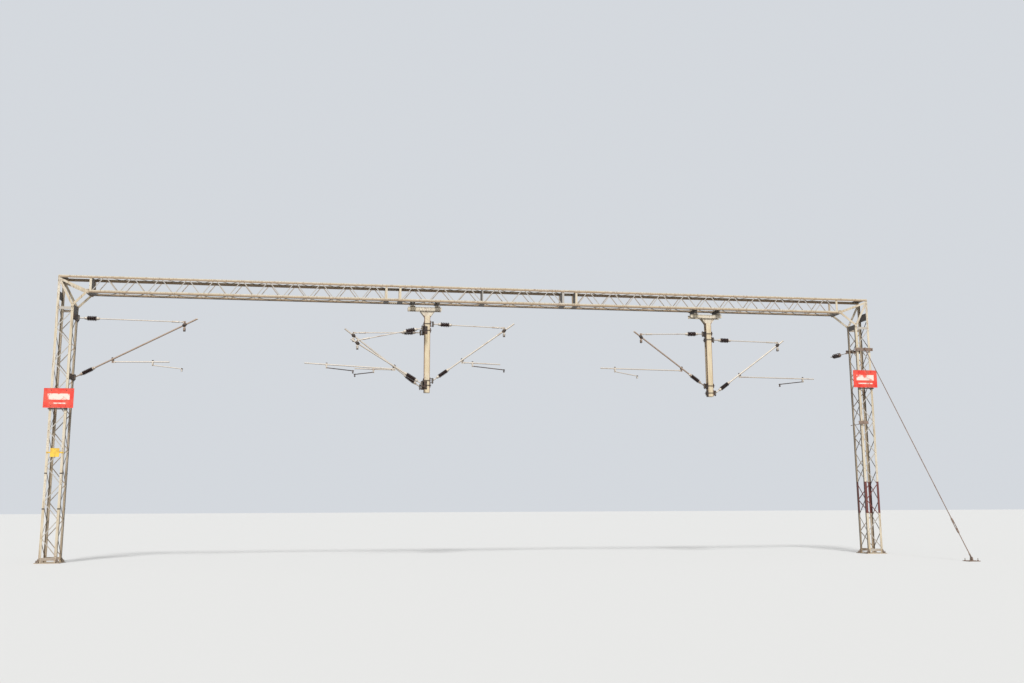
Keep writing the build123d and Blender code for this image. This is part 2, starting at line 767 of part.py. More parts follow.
def strain_insulator():
    start, along = strain_line()
    body = start + along * strain_distance
    back = body + along * strain_length
    eye = back + along * strain_eye_reach
    clear = along * anchor_lug * 0.8
    past = along * anchor_lug * 0.3
    flat = (0, 0, 1)
    pieces = [
        flat_bar(start - past, start + clear * 1.6, guy_tongue_width, guy_tongue_wall, flat),
        rod(start + clear, body, strain_rod_radius),
        insulator(body, along, strain_length, stay_core_radius, stay_shed_radius, stay_sheds),
        rod(back, eye - along * strain_eye_radius * 2, strain_rod_radius * 2),
        flat_bar(back, eye + along * strain_eye_radius * 2.5, guy_tongue_width, guy_tongue_wall, flat),
    ]
    above = Vector(0, 0, guy_tongue_width)
    hole = rod(eye - above, eye + above, strain_eye_radius)
    return joined(pieces) - hole


def boards():
    solids = []
    y = -half_depth
    for middle, height in ((0, left_board_height), (span, right_board_height)):
        solids.append(block(middle - board_width / 2, middle + board_width / 2, y - board_wall, y,
                            height - board_height / 2, height + board_height / 2))
    return Compound(children=solids)


def number_plate():
    # The plate in front of a bar that lies across both legs.
    half = plate_size / 2
    reach = half_width - strap_inset
    y = -half_depth
    bar = block(-reach, reach, y - strap_wall, y, plate_height - strap_height / 2, plate_height + strap_height / 2)
    y -= strap_wall
    return bar + block(-half, half, y - board_wall, y, plate_height - half, plate_height + half)


def build():
    nodes = {"base_plates": base_plates()}
    masts = {
        "left": (0, -1, left_knee_reach, left_inner_batten),
        "right": (span, 1, right_knee_reach, right_inner_batten),
    }
    for name, (middle, outer, knee_reach, inner_batten) in masts.items():
        nodes[name + "_upright_near_face"] = upright_face(middle, -1, outer)
        nodes[name + "_upright_far_face"] = upright_face(middle, 1, outer)
        nodes[name + "_upright_side_lacing"] = upright_sides(middle, outer, inner_batten)
        nodes[name + "_knee_frame"] = knee_frame(middle, outer, knee_reach)

    right_end = span - right_boom_end
    left_knee_end = left_knee_reach - knee_overhang
    right_knee_end = span - right_knee_reach + knee_overhang
    lengths = {
        "left": (boom_bays(left_boom_end, left_splice - splice_half),
                 (-half_width, left_splice), (left_knee_end, left_splice)),
        "middle": (boom_bays(left_splice + splice_half, right_splice - splice_half, 2),
                   (left_splice, right_splice), (left_splice, right_splice)),
        "right": (boom_bays(right_splice + splice_half, right_end),
                  (right_splice, span + half_width), (right_splice, right_knee_end)),
    }
    knees = {
        "left": left_knee_reach + knee_batten_shift,
        "right": span - right_knee_reach - knee_batten_shift,
    }
    corners = {
        "left": (-half_width, -half_width + left_corner_batten),
        "right": (span + half_width - right_corner_batten, span + half_width),
    }
    for name, (posts, top_ends, bottom_ends) in lengths.items():
        uprights = {posts[0]: end_post_width, posts[-1]: end_post_width}
        if name == "middle":
            uprights[posts[len(posts) // 2]] = middle_post_width
        # The boom is open at its right end.
        walls = [x for x in uprights if x != right_end]
        nodes["boom_" + name + "_near_truss"] = truss_face(-1, top_ends, bottom_ends, posts, uprights)
        nodes["boom_" + name + "_far_truss"] = truss_face(1, top_ends, bottom_ends, posts, uprights)
        nodes["boom_" + name + "_cross_lacing"] = cross_lacing(posts, walls, knees.get(name),
                                                               corners.get(name))
    nodes["boom_splice_plates"] = splice_plates()

    for name, x in arm_places.items():
        nodes[name + "_drop_arm"] = drop_arm(x)
        nodes[name + "_arm_hanger"] = arm_hanger(x)
    nodes["swivel_brackets"] = swivel_brackets()

    for name, values in cantilevers.items():
        c = Cantilever(values)
        nodes[name + "_bracket_tube"] = bracket_tube(c)
        nodes[name + "_stay_tube"] = stay_tube(c)
        nodes[name + "_insulators"] = insulators(c)
        nodes[name + "_register_tube"] = register_tube(c)
        nodes[name + "_steady_arm"] = steady_arm(c)

    nodes["anchor_bars"] = anchor_bars()
    nodes["strain_insulator"] = strain_insulator()
    nodes["guy_rod"] = guy_rod()
    nodes["guy_foot"] = guy_foot()
    nodes["red_boards"] = boards()
    nodes["number_plate"] = number_plate()
    return nodes


def main():
    os.makedirs("parts", exist_ok=True)
    for name, shape in build().items():
        export_step(shape, "parts/" + name + ".step")


if __name__ == "__main__":
    main()
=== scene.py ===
import json
import math

import bpy
import bmesh
from mathutils import Matrix, Vector


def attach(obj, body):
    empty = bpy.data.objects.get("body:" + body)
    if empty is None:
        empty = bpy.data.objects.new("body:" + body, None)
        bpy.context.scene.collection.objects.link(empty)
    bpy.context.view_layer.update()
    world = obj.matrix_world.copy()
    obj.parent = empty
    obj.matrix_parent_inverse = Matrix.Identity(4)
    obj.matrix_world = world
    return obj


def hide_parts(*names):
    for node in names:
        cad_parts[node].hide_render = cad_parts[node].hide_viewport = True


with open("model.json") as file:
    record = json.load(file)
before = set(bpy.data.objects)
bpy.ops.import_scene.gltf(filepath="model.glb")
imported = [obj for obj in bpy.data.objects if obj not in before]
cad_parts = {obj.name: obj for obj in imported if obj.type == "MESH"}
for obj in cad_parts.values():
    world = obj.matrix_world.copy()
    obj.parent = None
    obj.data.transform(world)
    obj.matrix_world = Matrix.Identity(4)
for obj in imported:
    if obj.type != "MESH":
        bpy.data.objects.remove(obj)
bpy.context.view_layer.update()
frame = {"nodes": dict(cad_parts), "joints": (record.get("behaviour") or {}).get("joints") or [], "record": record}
nodes = frame["nodes"]
places = {mount["name"]: Vector(mount["pos_m"]) for mount in frame["record"]["mounts"]}
hinges = {joint["name"]: Vector(joint["pos_m"]) for joint in frame["joints"]}
print("frame loaded:", len(nodes), "nodes")

# Sizes of the portal that the pieces below are set against, in metres
portal = {
    "span": 28.13,
    "boomTop": 9.345,
    "boomBottom": 8.775,
    "halfDepth": 0.310,
    "halfWidth": 0.2725,
    "chord": 0.085,
    "leg": 0.080,
    "innerLegTop": 8.390,
    "boomEnds": (0.750, 0.950),   # from each upright's middle
    "splices": (10.740, 17.005),
    "spliceHalf": 0.240,
    "arms": (11.945, 22.220),
    "armHalf": 0.1,
}

# Pins is the height from the bottom pin to the top pin. Register has the reaches from the pins to
# the register tube's bolt and to its end, and tail is the bracket tube's length past its clamp.
# Arm is the drop arm's place in the list above, and side is +1 where the cantilever reaches
# towards the right upright.
cantilevers = {
    "left": {"pins": 1.988, "register": (1.160, 2.960), "tail": 0.470, "arm": None, "side": 1},
    "first_right": {"pins": 2.000, "register": (1.040, 2.375), "tail": 0.440, "arm": 0, "side": 1},
    "first_near": {"pins": 1.935, "register": (0.950, 3.954), "tail": 0.260, "arm": 0, "side": -1},
    "first_far": {"pins": 1.935, "register": (0.901, 2.270), "tail": 0.380, "arm": 0, "side": -1},
    "second_left": {"pins": 1.915, "register": (0.850, 3.854), "tail": 0.330, "arm": 1, "side": -1},
    "second_right": {"pins": 1.960, "register": (0.960, 3.827), "tail": 0.290, "arm": 1, "side": 1},
}

# Signs of the two sides of a middle, and of the four corners round it
bothWays = (-1, 1)
fourWays = [(x, y) for x in bothWays for y in bothWays]

# Finishes

class Tone:
    # Wraps a socket, so that shader sums are written as plain expressions.
    def __init__(self, finish, socket):
        self.finish = finish
        self.socket = socket

    def __add__(self, other):
        return self.finish.sum("ADD", self, other)

    def __radd__(self, other):
        return self.finish.sum("ADD", other, self)

    def __sub__(self, other):
        return self.finish.sum("SUBTRACT", self, other)

    def __rsub__(self, other):
        return self.finish.sum("SUBTRACT", other, self)

    def __mul__(self, other):
        return self.finish.sum("MULTIPLY", self, other)

    def __rmul__(self, other):
        return self.finish.sum("MULTIPLY", other, self)

    def over(self, other):
        return self.finish.sum("MAXIMUM", self, other)

    def band(self, low, high):
        # 0 below low, 1 above high
        return self.finish.node("ShaderNodeMapRange", {"interpolation_type": "SMOOTHSTEP"},
                                {"Value": self, "From Min": low, "From Max": high})


def socketColour(value):
    return value if isinstance(value, Tone) else (*value, 1)


class Finish:
    # Nodes of a new material, or of a new world
    def __init__(self, name, library=bpy.data.materials):
        self.owner = library.new(name)
        self.owner.use_nodes = True
        self.tree = self.owner.node_tree
        self.tree.nodes.clear()
        self.place = self.node("ShaderNodeTexCoord", output="Object")

    def node(self, kind, settings={}, inputs={}, output=0):
        made = self.tree.nodes.new(kind)
        for name, value in settings.items():
            setattr(made, name, value)
        for name, value in inputs.items():
            if isinstance(value, Tone):
                self.tree.links.new(value.socket, made.inputs[name])
            else:
                made.inputs[name].default_value = value
        return Tone(self, made.outputs[output]) if made.outputs else None

    def sum(self, operation, first, second):
        return self.node("ShaderNodeMath", {"operation": operation}, {0: first, 1: second})

    def mix(self, factor, first, second):
        # Between two colours, which are sockets 6 and 7 of a Mix node
        if not isinstance(factor, Tone) and factor == 0:
            return first
        inputs = {0: factor, 6: socketColour(first), 7: socketColour(second)}
        return self.node("ShaderNodeMix", {"data_type": "RGBA"}, inputs, output=2)

    def stretched(self, scale):
        return self.node("ShaderNodeMapping", {}, {"Vector": self.place, "Scale": scale})

    def clouds(self, scale, detail=4, rough=0.55, at=None):
        return self.node("ShaderNodeTexNoise", {}, {"Vector": at or self.place, "Scale": scale,
                                                    "Detail": detail, "Roughness": rough})

    def axis(self, name):
        return self.node("ShaderNodeSeparateXYZ", {}, {"Vector": self.place}, output=name)

    def near(self, name, values, half):
        # 1 within half of any of the values on an axis, else 0
        coordinate, found = self.axis(name), None
        for value in values:
            away = coordinate - value
            hit = 1 - away.over(away * -1).band(half - 0.003, half + 0.003)
            found = found.over(hit) if found else hit
        return found

    def facing(self, name):
        normal = self.node("ShaderNodeNewGeometry", output="Normal")
        return self.node("ShaderNodeSeparateXYZ", {}, {"Vector": normal}, output=name)

    def bump(self, height, strength, distance):
        inputs = {"Height": height, "Strength": strength, "Distance": distance}
        return self.node("ShaderNodeBump", {}, inputs)

    def finished(self, colour, rough, metal=0.0, normal=None, coat=0.0):
        inputs = {"Base Color": socketColour(colour), "Roughness": rough, "Metallic": metal,
                  "Coat Weight": coat}
        if normal:
            inputs["Normal"] = normal
        shader = self.node("ShaderNodeBsdfPrincipled", {}, inputs)
        self.node("ShaderNodeOutputMaterial", {}, {"Surface": shader})
        return self.owner


paint = {
    "cream": (0.54, 0.455, 0.32),
    "pale": (0.66, 0.60, 0.49),
    "yellowed": (0.62, 0.49, 0.28),
    "tan": (0.265, 0.178, 0.102),
    "rust": (0.15, 0.06, 0.026),
    # Dark colour of painted shade, laid on undersides, hollows and sides turned from the light
    "paintedShade": (0.040, 0.031, 0.026),
    "lacing": (0.37, 0.345, 0.315),
    "maroon": (0.13, 0.035, 0.028),
    "bandLow": 1.45,
    "bandHigh": 2.58,
    "brightPosts": (0.75, 10.50, 10.98, 17.245, 27.18),
    "postHalf": 0.042,
    "sidePlates": 8.0,            # lowest height of the dark plates on the uprights' sides
    # The drop arms' rusty edges also stand in for painted shade on the flanges' sides
    "flangeEdge": 0.016,          # width of a drop arm's rusty edges
    "armTop": (8.30, 8.34),       # heights between which the arms' own colour fades out
    "upperChannels": 8.695,       # middle of their hollows
    "channelHalf": 0.070,
}


class Paint(Finish):
    # Cream paint with tan clouds, vertical runs and rust specks, which takes more colours over it
    def __init__(self, name):
        super().__init__(name)
        self.wide, self.specks = self.clouds(0.9, 5, 0.6), self.clouds(38, 3, 0.7)
        runs = self.clouds(3.0, 4, 0.65, self.stretched((9, 9, 0.7)))
        self.colour = self.mix(self.wide.band(0.35, 0.7), paint["cream"], paint["pale"])
        self.cover(runs.band(0.48, 0.72) * 0.8, "tan")
        self.cover((self.specks * 0.5 + self.wide * 0.5).band(0.55, 0.63) * 0.8, "rust")

    def cover(self, amount, colour):
        self.colour = self.mix(amount, self.colour, paint[colour])

    def withPaintedShade(self, amount):
        # Painted shade: undersides nearly black, the sides that face along the boom darker than the
        # fronts, and the faces turned away a little darker. Splashes stain the feet.
        under = (self.facing("Z") * -1).band(0.2, 0.9)
        x = self.facing("X")
        aside = x.over(x * -1).band(0.5, 0.95) * 0.76
        away = self.facing("Y").band(0.3, 0.95) * 0.2
        self.cover(under.over(aside).over(away) * amount, "paintedShade")
        splash = (1 - self.axis("Z").band(0.0, 0.9)) * self.wide.band(0.3, 0.6)
        self.cover(splash * 0.5, "tan")
        rough, grain = self.specks * 0.25 + 0.5, self.bump(self.specks, 0.25, 0.0015)
        return self.finished(self.colour, rough, normal=grain)


def boomPaint(name, paintedShadeShare):
    # Chords painted lighter along their top edges and tan below, as painted highlight and shade, and
    # duller lacing between them
    finish = Paint(name)
    z = finish.axis("Z")
    low, high, chord = portal["boomBottom"], portal["boomTop"], portal["chord"]
    upper = z.band(high - chord - 0.01, high - chord)
    upperEdge = z.band(high - chord * 0.60, high - chord * 0.12)
    lowerEdge = z.band(low + chord * 0.30, low + chord * 0.85)
    # Painted highlight along each chord's top edge, with painted shade in tan below it
    paintedLitEdges = upper * upperEdge + (1 - upper) * lowerEdge
    finish.cover((1 - paintedLitEdges) * 0.88, "tan")
    overLower = z.band(low + chord + 0.002, low + chord + 0.008)
    underUpper = 1 - z.band(high - chord - 0.008, high - chord - 0.002)
    posts = finish.near("X", paint["brightPosts"], paint["postHalf"])
    finish.cover(overLower * underUpper * (1 - posts) * 0.92, "lacing")
    # The share given lays tan over the far truss as painted shade
    finish.cover(paintedShadeShare, "tan")
    return finish.withPaintedShade(0.93)


def uprightPaint(name, paintedShadeShare, middle=None):
    # Legs with duller lacing between them, or where no middle is given the lacing of the sides with
    # its plates painted dark as shade, and the maroon band of the right upright
    finish = Paint(name)
    if middle is None:
        finish.cover(0.8, "lacing")
        # Painted shade on the side plates and the lacing above them
        plates = finish.axis("Z").band(paint["sidePlates"], paint["sidePlates"] + 0.02)
        finish.cover(plates * 0.75, "paintedShade")
    else:
        lacing = finish.near("X", (middle,), portal["halfWidth"] - portal["leg"])
        finish.cover(lacing * 0.8, "lacing")
    # The share given lays tan over the far faces as painted shade
    finish.cover(paintedShadeShare, "tan")
    height = finish.axis("Z") + finish.wide * 0.04
    inside = height.band(paint["bandLow"], paint["bandLow"] + 0.015) * \
        (1 - height.band(paint["bandHigh"], paint["bandHigh"] + 0.015))
    right = finish.axis("X").band(portal["span"] - 1.0, portal["span"] - 0.9)
    finish.cover(inside * right * (1 - finish.specks.band(0.62, 0.7) * 0.7), "maroon")
    return finish.withPaintedShade(0.9)


def framePaint(name):
    # Knees, base plates and other plain parts of the frame
    finish = Paint(name)
    finish.cover(0.15, "tan")
    return finish.withPaintedShade(0.9)


def lacingPaint(name):
    # The flat lacing, battens and plates across the boom
    finish = Paint(name)
    finish.cover(0.85, "lacing")
    # Faces turned to the front and back get painted shade
    y = finish.facing("Y")
    finish.cover(y.over(y * -1).band(0.5, 0.9) * 0.8, "paintedShade")
    return finish.withPaintedShade(0.95)


def armPaint(name):
    # Drop arms: yellower cream with rusty edges that also stand in for painted shade on the
    # flanges' sides, and painted shade in their hollow sides
    finish = Paint(name)
    half = portal["armHalf"] - paint["flangeEdge"]
    face = finish.near("X", portal["arms"], half)
    shaft = 1 - finish.axis("Z").band(*paint["armTop"])
    # Rust with painted shade on the edges; painted shade in the web's hollow below
    finish.cover((1 - face) * shaft * 0.85, "rust")
    finish.cover(face * shaft * 0.35, "yellowed")
    finish.cover(finish.near("Y", (0.0,), half) * shaft * 0.85, "paintedShade")
    return finish.withPaintedShade(0.8)


def hangerPaint(name):
    # Channels under the boom, with painted shade in the hollows of the upper ones
    finish = Paint(name)
    finish.cover(finish.near("Z", (paint["upperChannels"],), paint["channelHalf"]) * 0.93, "paintedShade")
    return finish.withPaintedShade(0.9)


tubeZinc = {
    "zinc": (0.50, 0.44, 0.37),
    # Brown of the stains, also laid over darker tubes as painted shade
    "stainAndShade": (0.27, 0.17, 0.11),
    "bright": (0.64, 0.58, 0.49),
    "iron": (0.060, 0.048, 0.040),
    "pins": (0.3725, 11.745, 12.145, 22.020, 22.420),    # X of the swivel eyes, which are of dark iron
    "eyeHalf": 0.045,
}


def tubeFinish(name, paintedShadeShare=0.0):
    # Galvanised tube, dulled and stained brown, with painted shade on its undersides and over the
    # whole tube by the share given
    finish = Finish(name)
    clouds = finish.clouds(2.6, 5, 0.6)
    flakes = finish.clouds(60, 2, 0.5)
    colour = finish.mix(clouds.band(0.36, 0.66), tubeZinc["zinc"], tubeZinc["bright"])
    colour = finish.mix((clouds * 0.6 + flakes * 0.4).band(0.5, 0.62) * 0.7, colour, tubeZinc["stainAndShade"])
    # The share given darkens the tube as painted shade
    colour = finish.mix(paintedShadeShare, colour, tubeZinc["stainAndShade"])
    eyes = finish.near("X", tubeZinc["pins"], tubeZinc["eyeHalf"])
    colour = finish.mix(eyes * 0.85, colour, tubeZinc["iron"])
    # Undersides darkened as painted shade
    under = (finish.facing("Z") * -1).band(0.1, 0.9)
    colour = finish.mix(under * 0.6, colour, paint["paintedShade"])
    return finish.finished(colour, flakes * 0.2 + 0.42, 0.25, finish.bump(flakes, 0.15, 0.001))


glaze = {
    "brown": (0.030, 0.011, 0.008),
    "deep": (0.012, 0.006, 0.005),
    "dust": (0.23, 0.17, 0.12),
}


def glazeFinish(name):
    # Brown glazed porcelain with dust on top of the sheds
    finish = Finish(name)
    clouds = finish.clouds(14, 3)
    colour = finish.mix(clouds, glaze["brown"], glaze["deep"])
    dust = finish.facing("Z").band(0.2, 1.0) * clouds.band(0.35, 0.65)
    colour = finish.mix(dust * 0.12, colour, glaze["dust"])
    return finish.finished(colour, dust * 0.4 + 0.24, 0.0, finish.bump(clouds, 0.05, 0.001), 0.2)


forging = {
    "iron": (0.035, 0.028, 0.025),
    "worn": (0.105, 0.084, 0.068),
    "rust": (0.11, 0.046, 0.024),
}


def forgingFinish(name, rusty=0.5):
    # Dark cast and forged fittings
    finish = Finish(name)
    clouds = finish.clouds(9, 4, 0.6)
    grain = finish.clouds(120, 2)
    colour = finish.mix(clouds.band(0.4, 0.7), forging["iron"], forging["worn"])
    colour = finish.mix((clouds * 0.5 + grain * 0.5).band(0.48, 0.6) * rusty, colour, forging["rust"])
    return finish.finished(colour, grain * 0.2 + 0.55, 0.35, finish.bump(grain, 0.3, 0.001))


anchorRust = {
    "brown": (0.17, 0.095, 0.058),
    "orange": (0.30, 0.13, 0.05),
    "grey": (0.22, 0.19, 0.165),
}


def rustFinish(name):
    # Anchor bars, guy and strain fittings, rusted to brown
    finish = Finish(name)
    clouds = finish.clouds(5, 5, 0.65)
    grain = finish.clouds(90, 3)
    colour = finish.mix(clouds.band(0.35, 0.6), anchorRust["brown"], anchorRust["grey"])
    colour = finish.mix((clouds * 0.4 + grain * 0.6).band(0.5, 0.6) * 0.7, colour, anchorRust["orange"])
    return finish.finished(colour, grain * 0.15 + 0.7, 0.15, finish.bump(grain, 0.35, 0.0015))


boardPaint = {
    "red": (0.68, 0.040, 0.024),
    "faded": (0.74, 0.11, 0.07),
    "chalk": (0.74, 0.64, 0.56),
    "grime": (0.24, 0.045, 0.028),
}


def boardFinish(name):
    # Faded red enamel
    finish = Finish(name)
    clouds = finish.clouds(3.2, 5, 0.6)
    grain = finish.clouds(55, 3)
    colour = finish.mix(clouds.band(0.35, 0.68), boardPaint["red"], boardPaint["faded"])
    colour = finish.mix((clouds * 0.5 + grain * 0.5).band(0.54, 0.64) * 0.6, colour, boardPaint["grime"])
    return finish.finished(colour, grain * 0.2 + 0.35, 0.0, finish.bump(grain, 0.1, 0.0008))


def stripeFinish(name):
    # Pale paint worn through to the red under it
    finish = Finish(name)
    clouds = finish.clouds(5.5, 5, 0.6)
    grain = finish.clouds(60, 3)
    worn = (clouds * 0.85 + grain * 0.15).band(0.50, 0.58)
    colour = finish.mix(worn, boardPaint["chalk"], boardPaint["faded"])
    return finish.finished(colour, grain * 0.2 + 0.4, 0.0, finish.bump(worn, 0.1, 0.0006))


def plainFinish(name, first, second, rough, metal=0.0, scale=7.0):
    # Clouds of two colours with a fine grain
    finish = Finish(name)
    clouds = finish.clouds(scale, 4)
    grain = finish.clouds(scale * 12, 2)
    colour = finish.mix(clouds.band(0.35, 0.65), first, second)
    return finish.finished(colour, grain * 0.2 + rough, metal, finish.bump(grain, 0.15, 0.001))


finishes = {
    "nearBoom": boomPaint("nearBoomPaint", 0.0),
    # The far truss and the far faces are darker copies, with painted shade
    "farBoom": boomPaint("farBoomPaint", 0.5),
    "leftNear": uprightPaint("leftNearPaint", 0.0, 0.0),
    "leftFar": uprightPaint("leftFarPaint", 0.45, 0.0),
    "rightNear": uprightPaint("rightNearPaint", 0.0, portal["span"]),
    "rightFar": uprightPaint("rightFarPaint", 0.45, portal["span"]),
    "sideLacing": uprightPaint("sideLacingPaint", 0.0),
    "lacing": lacingPaint("crossLacingPaint"),
    "frame": framePaint("framePaint"),
    "arm": armPaint("armPaint"),
    "hanger": hangerPaint("hangerPaint"),
    "tube": tubeFinish("tubeZinc"),
    "darkTube": tubeFinish("shadedTube", 0.75),
    "glaze": glazeFinish("brownGlaze"),
    "dark": forgingFinish("darkForging"),
    "bracket": forgingFinish("bracketForging", rusty=0.8),
    "anchor": rustFinish("anchorRust"),
    "board": boardFinish("redBoard"),
    "stripe": stripeFinish("wornStripe"),
    "plate": plainFinish("yellowPlate", (0.78, 0.52, 0.06), (0.62, 0.38, 0.06), 0.4),
    "bolt": plainFinish("boltZinc", (0.33, 0.28, 0.23), (0.16, 0.10, 0.07), 0.45, 0.5, 20.0),
}
print("finishes made:", len(finishes))

# Each carried-over node gets the finish of the first ending here that its name has, or else "frame"
nodeFinishes = {
    "near_truss": "nearBoom", "far_truss": "farBoom", "cross_lacing": "lacing", "side_lacing": "sideLacing",
    "left_upright_near_face": "leftNear", "left_upright_far_face": "leftFar",
    "right_upright_near_face": "rightNear", "right_upright_far_face": "rightFar",
    "drop_arm": "arm", "arm_hanger": "hanger", "swivel_brackets": "bracket",
    "left_bracket_tube": "darkTube", "bracket_tube": "tube", "stay_tube": "tube", "register_tube": "tube",
    "insulators": "glaze", "left_steady_arm": "tube", "steady_arm": "dark",
    "anchor_bars": "anchor", "guy_rod": "anchor", "guy_foot": "anchor", "strain_insulator": "anchor",
    "red_boards": "board", "number_plate": "plate",
}
for name, node in nodes.items():
    wanted = next((finish for end, finish in nodeFinishes.items() if name.endswith(end)), "frame")
    node.data.materials.clear()
    node.data.materials.append(finishes[wanted])


# Helpers for the new pieces

def raised(place, height):
    return place + Vector((0, 0, height))


def along(start, end):
    # Matrix that puts Z on the line from start to end, with the origin at its start
    direction = (Vector(end) - Vector(start)).normalized()
    return Matrix.Translation(start) @ direction.to_track_quat("Z", "Y").to_matrix().to_4x4()


def turned(x, y, z):
    # Turn that puts the three axes on the given directions
    return Matrix((x, y, z)).transposed().to_4x4()


def addSpin(bm, outline, matrix, steps):
    # Solid of revolution from radius, height pairs that begin and end on the axis
    made = [bm.verts.new((radius, 0, height)) for radius, height in outline]
    edges = [bm.edges.new(pair) for pair in zip(made, made[1:])]
    bmesh.ops.spin(bm, geom=made + edges, cent=(0, 0, 0), axis=(0, 0, 1), angle=2 * math.pi, steps=steps,
                   use_merge=True)
    verts = set(made)
    stack = list(made)
    while stack:
        for edge in stack.pop().link_edges:
            for vert in edge.verts:
                if vert not in verts:
                    verts.add(vert)
                    stack.append(vert)
    bmesh.ops.remove_doubles(bm, verts=list(verts), dist=1e-5)
    verts = [vert for vert in verts if vert.is_valid]
    bmesh.ops.transform(bm, matrix=matrix, verts=verts)


def bevelled(bm, verts, edges, offset):
    made = bmesh.ops.bevel(bm, geom=edges, offset=offset, affect="EDGES", segments=1, profile=0.5,
                           material=-1)
    return list({vert for vert in verts if vert.is_valid} | set(made["verts"]))


def addRod(bm, start, end, radius, sides=12, bevel=0.0):
    length = (Vector(end) - Vector(start)).length
    verts = bmesh.ops.create_cone(bm, cap_ends=True, segments=sides, radius1=radius, radius2=radius,
                                  depth=length)["verts"]
    bmesh.ops.translate(bm, vec=(0, 0, length / 2), verts=verts)
    if bevel:
        rims = {edge for vert in verts for edge in vert.link_edges
                if abs(edge.verts[0].co.z - edge.verts[1].co.z) < 1e-6}
        verts = bevelled(bm, verts, list(rims), bevel)
    bmesh.ops.transform(bm, matrix=along(start, end), verts=verts)


def addBlock(bm, middle, size, bevel=0.0, turn=Matrix()):
    verts = bmesh.ops.create_cube(bm, size=1.0)["verts"]
    bmesh.ops.scale(bm, vec=size, verts=verts)
    if bevel:
        edges = {edge for vert in verts for edge in vert.link_edges}
        verts = bevelled(bm, verts, list(edges), bevel)
    bmesh.ops.transform(bm, matrix=Matrix.Translation(middle) @ turn, verts=verts)


def finishPiece(bm, name, body, finish, replaced=(), smooth=0.0):
    bmesh.ops.recalc_face_normals(bm, faces=bm.faces)
    mesh = bpy.data.meshes.new(name)
    bm.to_mesh(mesh)
    bm.free()
    piece = bpy.data.objects.new(name, mesh)
    bpy.context.scene.collection.objects.link(piece)
    mesh.materials.append(finishes[finish])
    if smooth:
        mesh.shade_smooth()
        mesh.set_sharp_from_angle(angle=math.radians(smooth))
    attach(piece, body)
    for node in replaced:
        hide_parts(node)


# As shares of a bolt's size
hexBolt = {
    "washer": 1.15,
    "washerWall": 0.16,
    "head": 0.92,
    "headHeight": 0.65,
    "thread": 0.5,
}


def addBolt(bm, place, normal, size, stub=0.0):
    # Washer and hexagon head of a bolt, and its thread's end where a nut shows
    place, normal = Vector(place), Vector(normal).normalized()
    wall = size * hexBolt["washerWall"]
    top = place + normal * (wall + size * hexBolt["headHeight"])
    addRod(bm, place, place + normal * wall, size * hexBolt["washer"], 10)
    addRod(bm, place + normal * wall, top, size * hexBolt["head"], 6)
    if stub:
        addRod(bm, top, top + normal * stub, size * hexBolt["thread"], 8)


# Porcelain

porcelain = {
    "capStart": 0.210,            # from a pin's axis to the cap's near end
    "capLength": 0.062,
    "capRadius": 0.048,
    "bracket": (0.340, 0.050, 0.076, 8),    # length, radii of the core and the sheds, and how many
    "stay": (0.300, 0.052, 0.086, 5),
    "clampDrop": 0.170,           # from the bracket tube's axis to the hanging clamp's seat
    "lugHeight": 0.098,
}


def shedOutline(length, core, shed, count):
    # Sheds with a sloping top, a rounded lip and a hollow underside
    outline = [(0, 0), (core, 0)]
    pitch = length / count
    lip = min(0.006, pitch * 0.14)
    for i in range(count):
        base = i * pitch
        outline += [
            (core, base + pitch * 0.06),
            (core * 1.06, base + pitch * 0.12),
            (shed * 0.72 + core * 0.28, base + pitch * 0.26),
            (shed - lip, base + pitch * 0.36),
            (shed, base + pitch * 0.36 + lip),
            (shed - lip, base + pitch * 0.36 + lip * 2),
            (shed * 0.84 + core * 0.16, base + pitch * 0.70),
            (core * 1.10, base + pitch * 0.92),
        ]
    outline += [(core, length), (0, length)]
    return outline


def cantileverPlaces(name):
    foot = hinges[name + "_swing"]
    head = raised(foot, cantilevers[name]["pins"])
    seat = places[name + "_wire_clamp"]
    clamp = raised(seat, porcelain["clampDrop"])
    stayEnd = raised(clamp, porcelain["lugHeight"])
    return {
        "foot": foot, "head": head, "seat": seat, "clamp": clamp, "stayEnd": stayEnd,
        "tubeWay": (clamp - foot).normalized(), "stayWay": (stayEnd - head).normalized(),
        "steadyPin": hinges[name + "_steady_lift"], "tip": places[name + "_contact_clip"],
    }


def makeInsulators(name):
    at = cantileverPlaces(name)
    bm = bmesh.new()
    for start, way, kind in ((at["foot"], at["tubeWay"], "bracket"), (at["head"], at["stayWay"], "stay")):
        begin = start + way * (porcelain["capStart"] + porcelain["capLength"])
        addSpin(bm, shedOutline(*porcelain[kind]), along(begin, begin + way), 28)
    finishPiece(bm, name + "_porcelain", name + "_cantilever", "glaze",
                replaced=(name + "_insulators",), smooth=40)


for name in cantilevers:
    makeInsulators(name)
print("porcelain made")


# Bolts and plates of the frame

lattice = {
    "bayPitch": 0.885,
    "lacingGap": 0.035,           # from a panel point to the end of each diagonal
    "inset": 0.040,               # from a chord's or leg's outer edge to the lacing's end
    "uprightPitch": 0.560,
    "lacingStart": 0.220,
    "strutDrop": 0.150,
    "batten": 0.090,
    "battenBolt": 0.024,          # from a batten's middle to its bolts
    "innerPlate": {"left": (8.020, 8.370), "right": (8.190, 8.370)},
    "outerPlate": (8.560, 8.830),
    "plateOverlap": 0.028,        # of a side plate over the lacing's last bar
    "plateBolts": (0.15, 0.5, 0.85),        # shares of a side plate's height
    "wall": 0.022,                # of an angle and the lacing behind it
    "bolt": 0.0095,
    "nutStub": 0.006,
    # Heights of what lies flat on each upright's near face, where no bolt head shows
    "covered": {"left": ((4.90, 5.60), (3.45, 3.53)), "right": ((5.98, 6.68),)},
}


def evenSteps(first, last, pitch, sections=1):
    # Values from first to last, evenly apart by about the pitch
    count = sections * max(2, round((last - first) / sections / pitch))
    return [first + (last - first) * i / count for i in range(count + 1)]


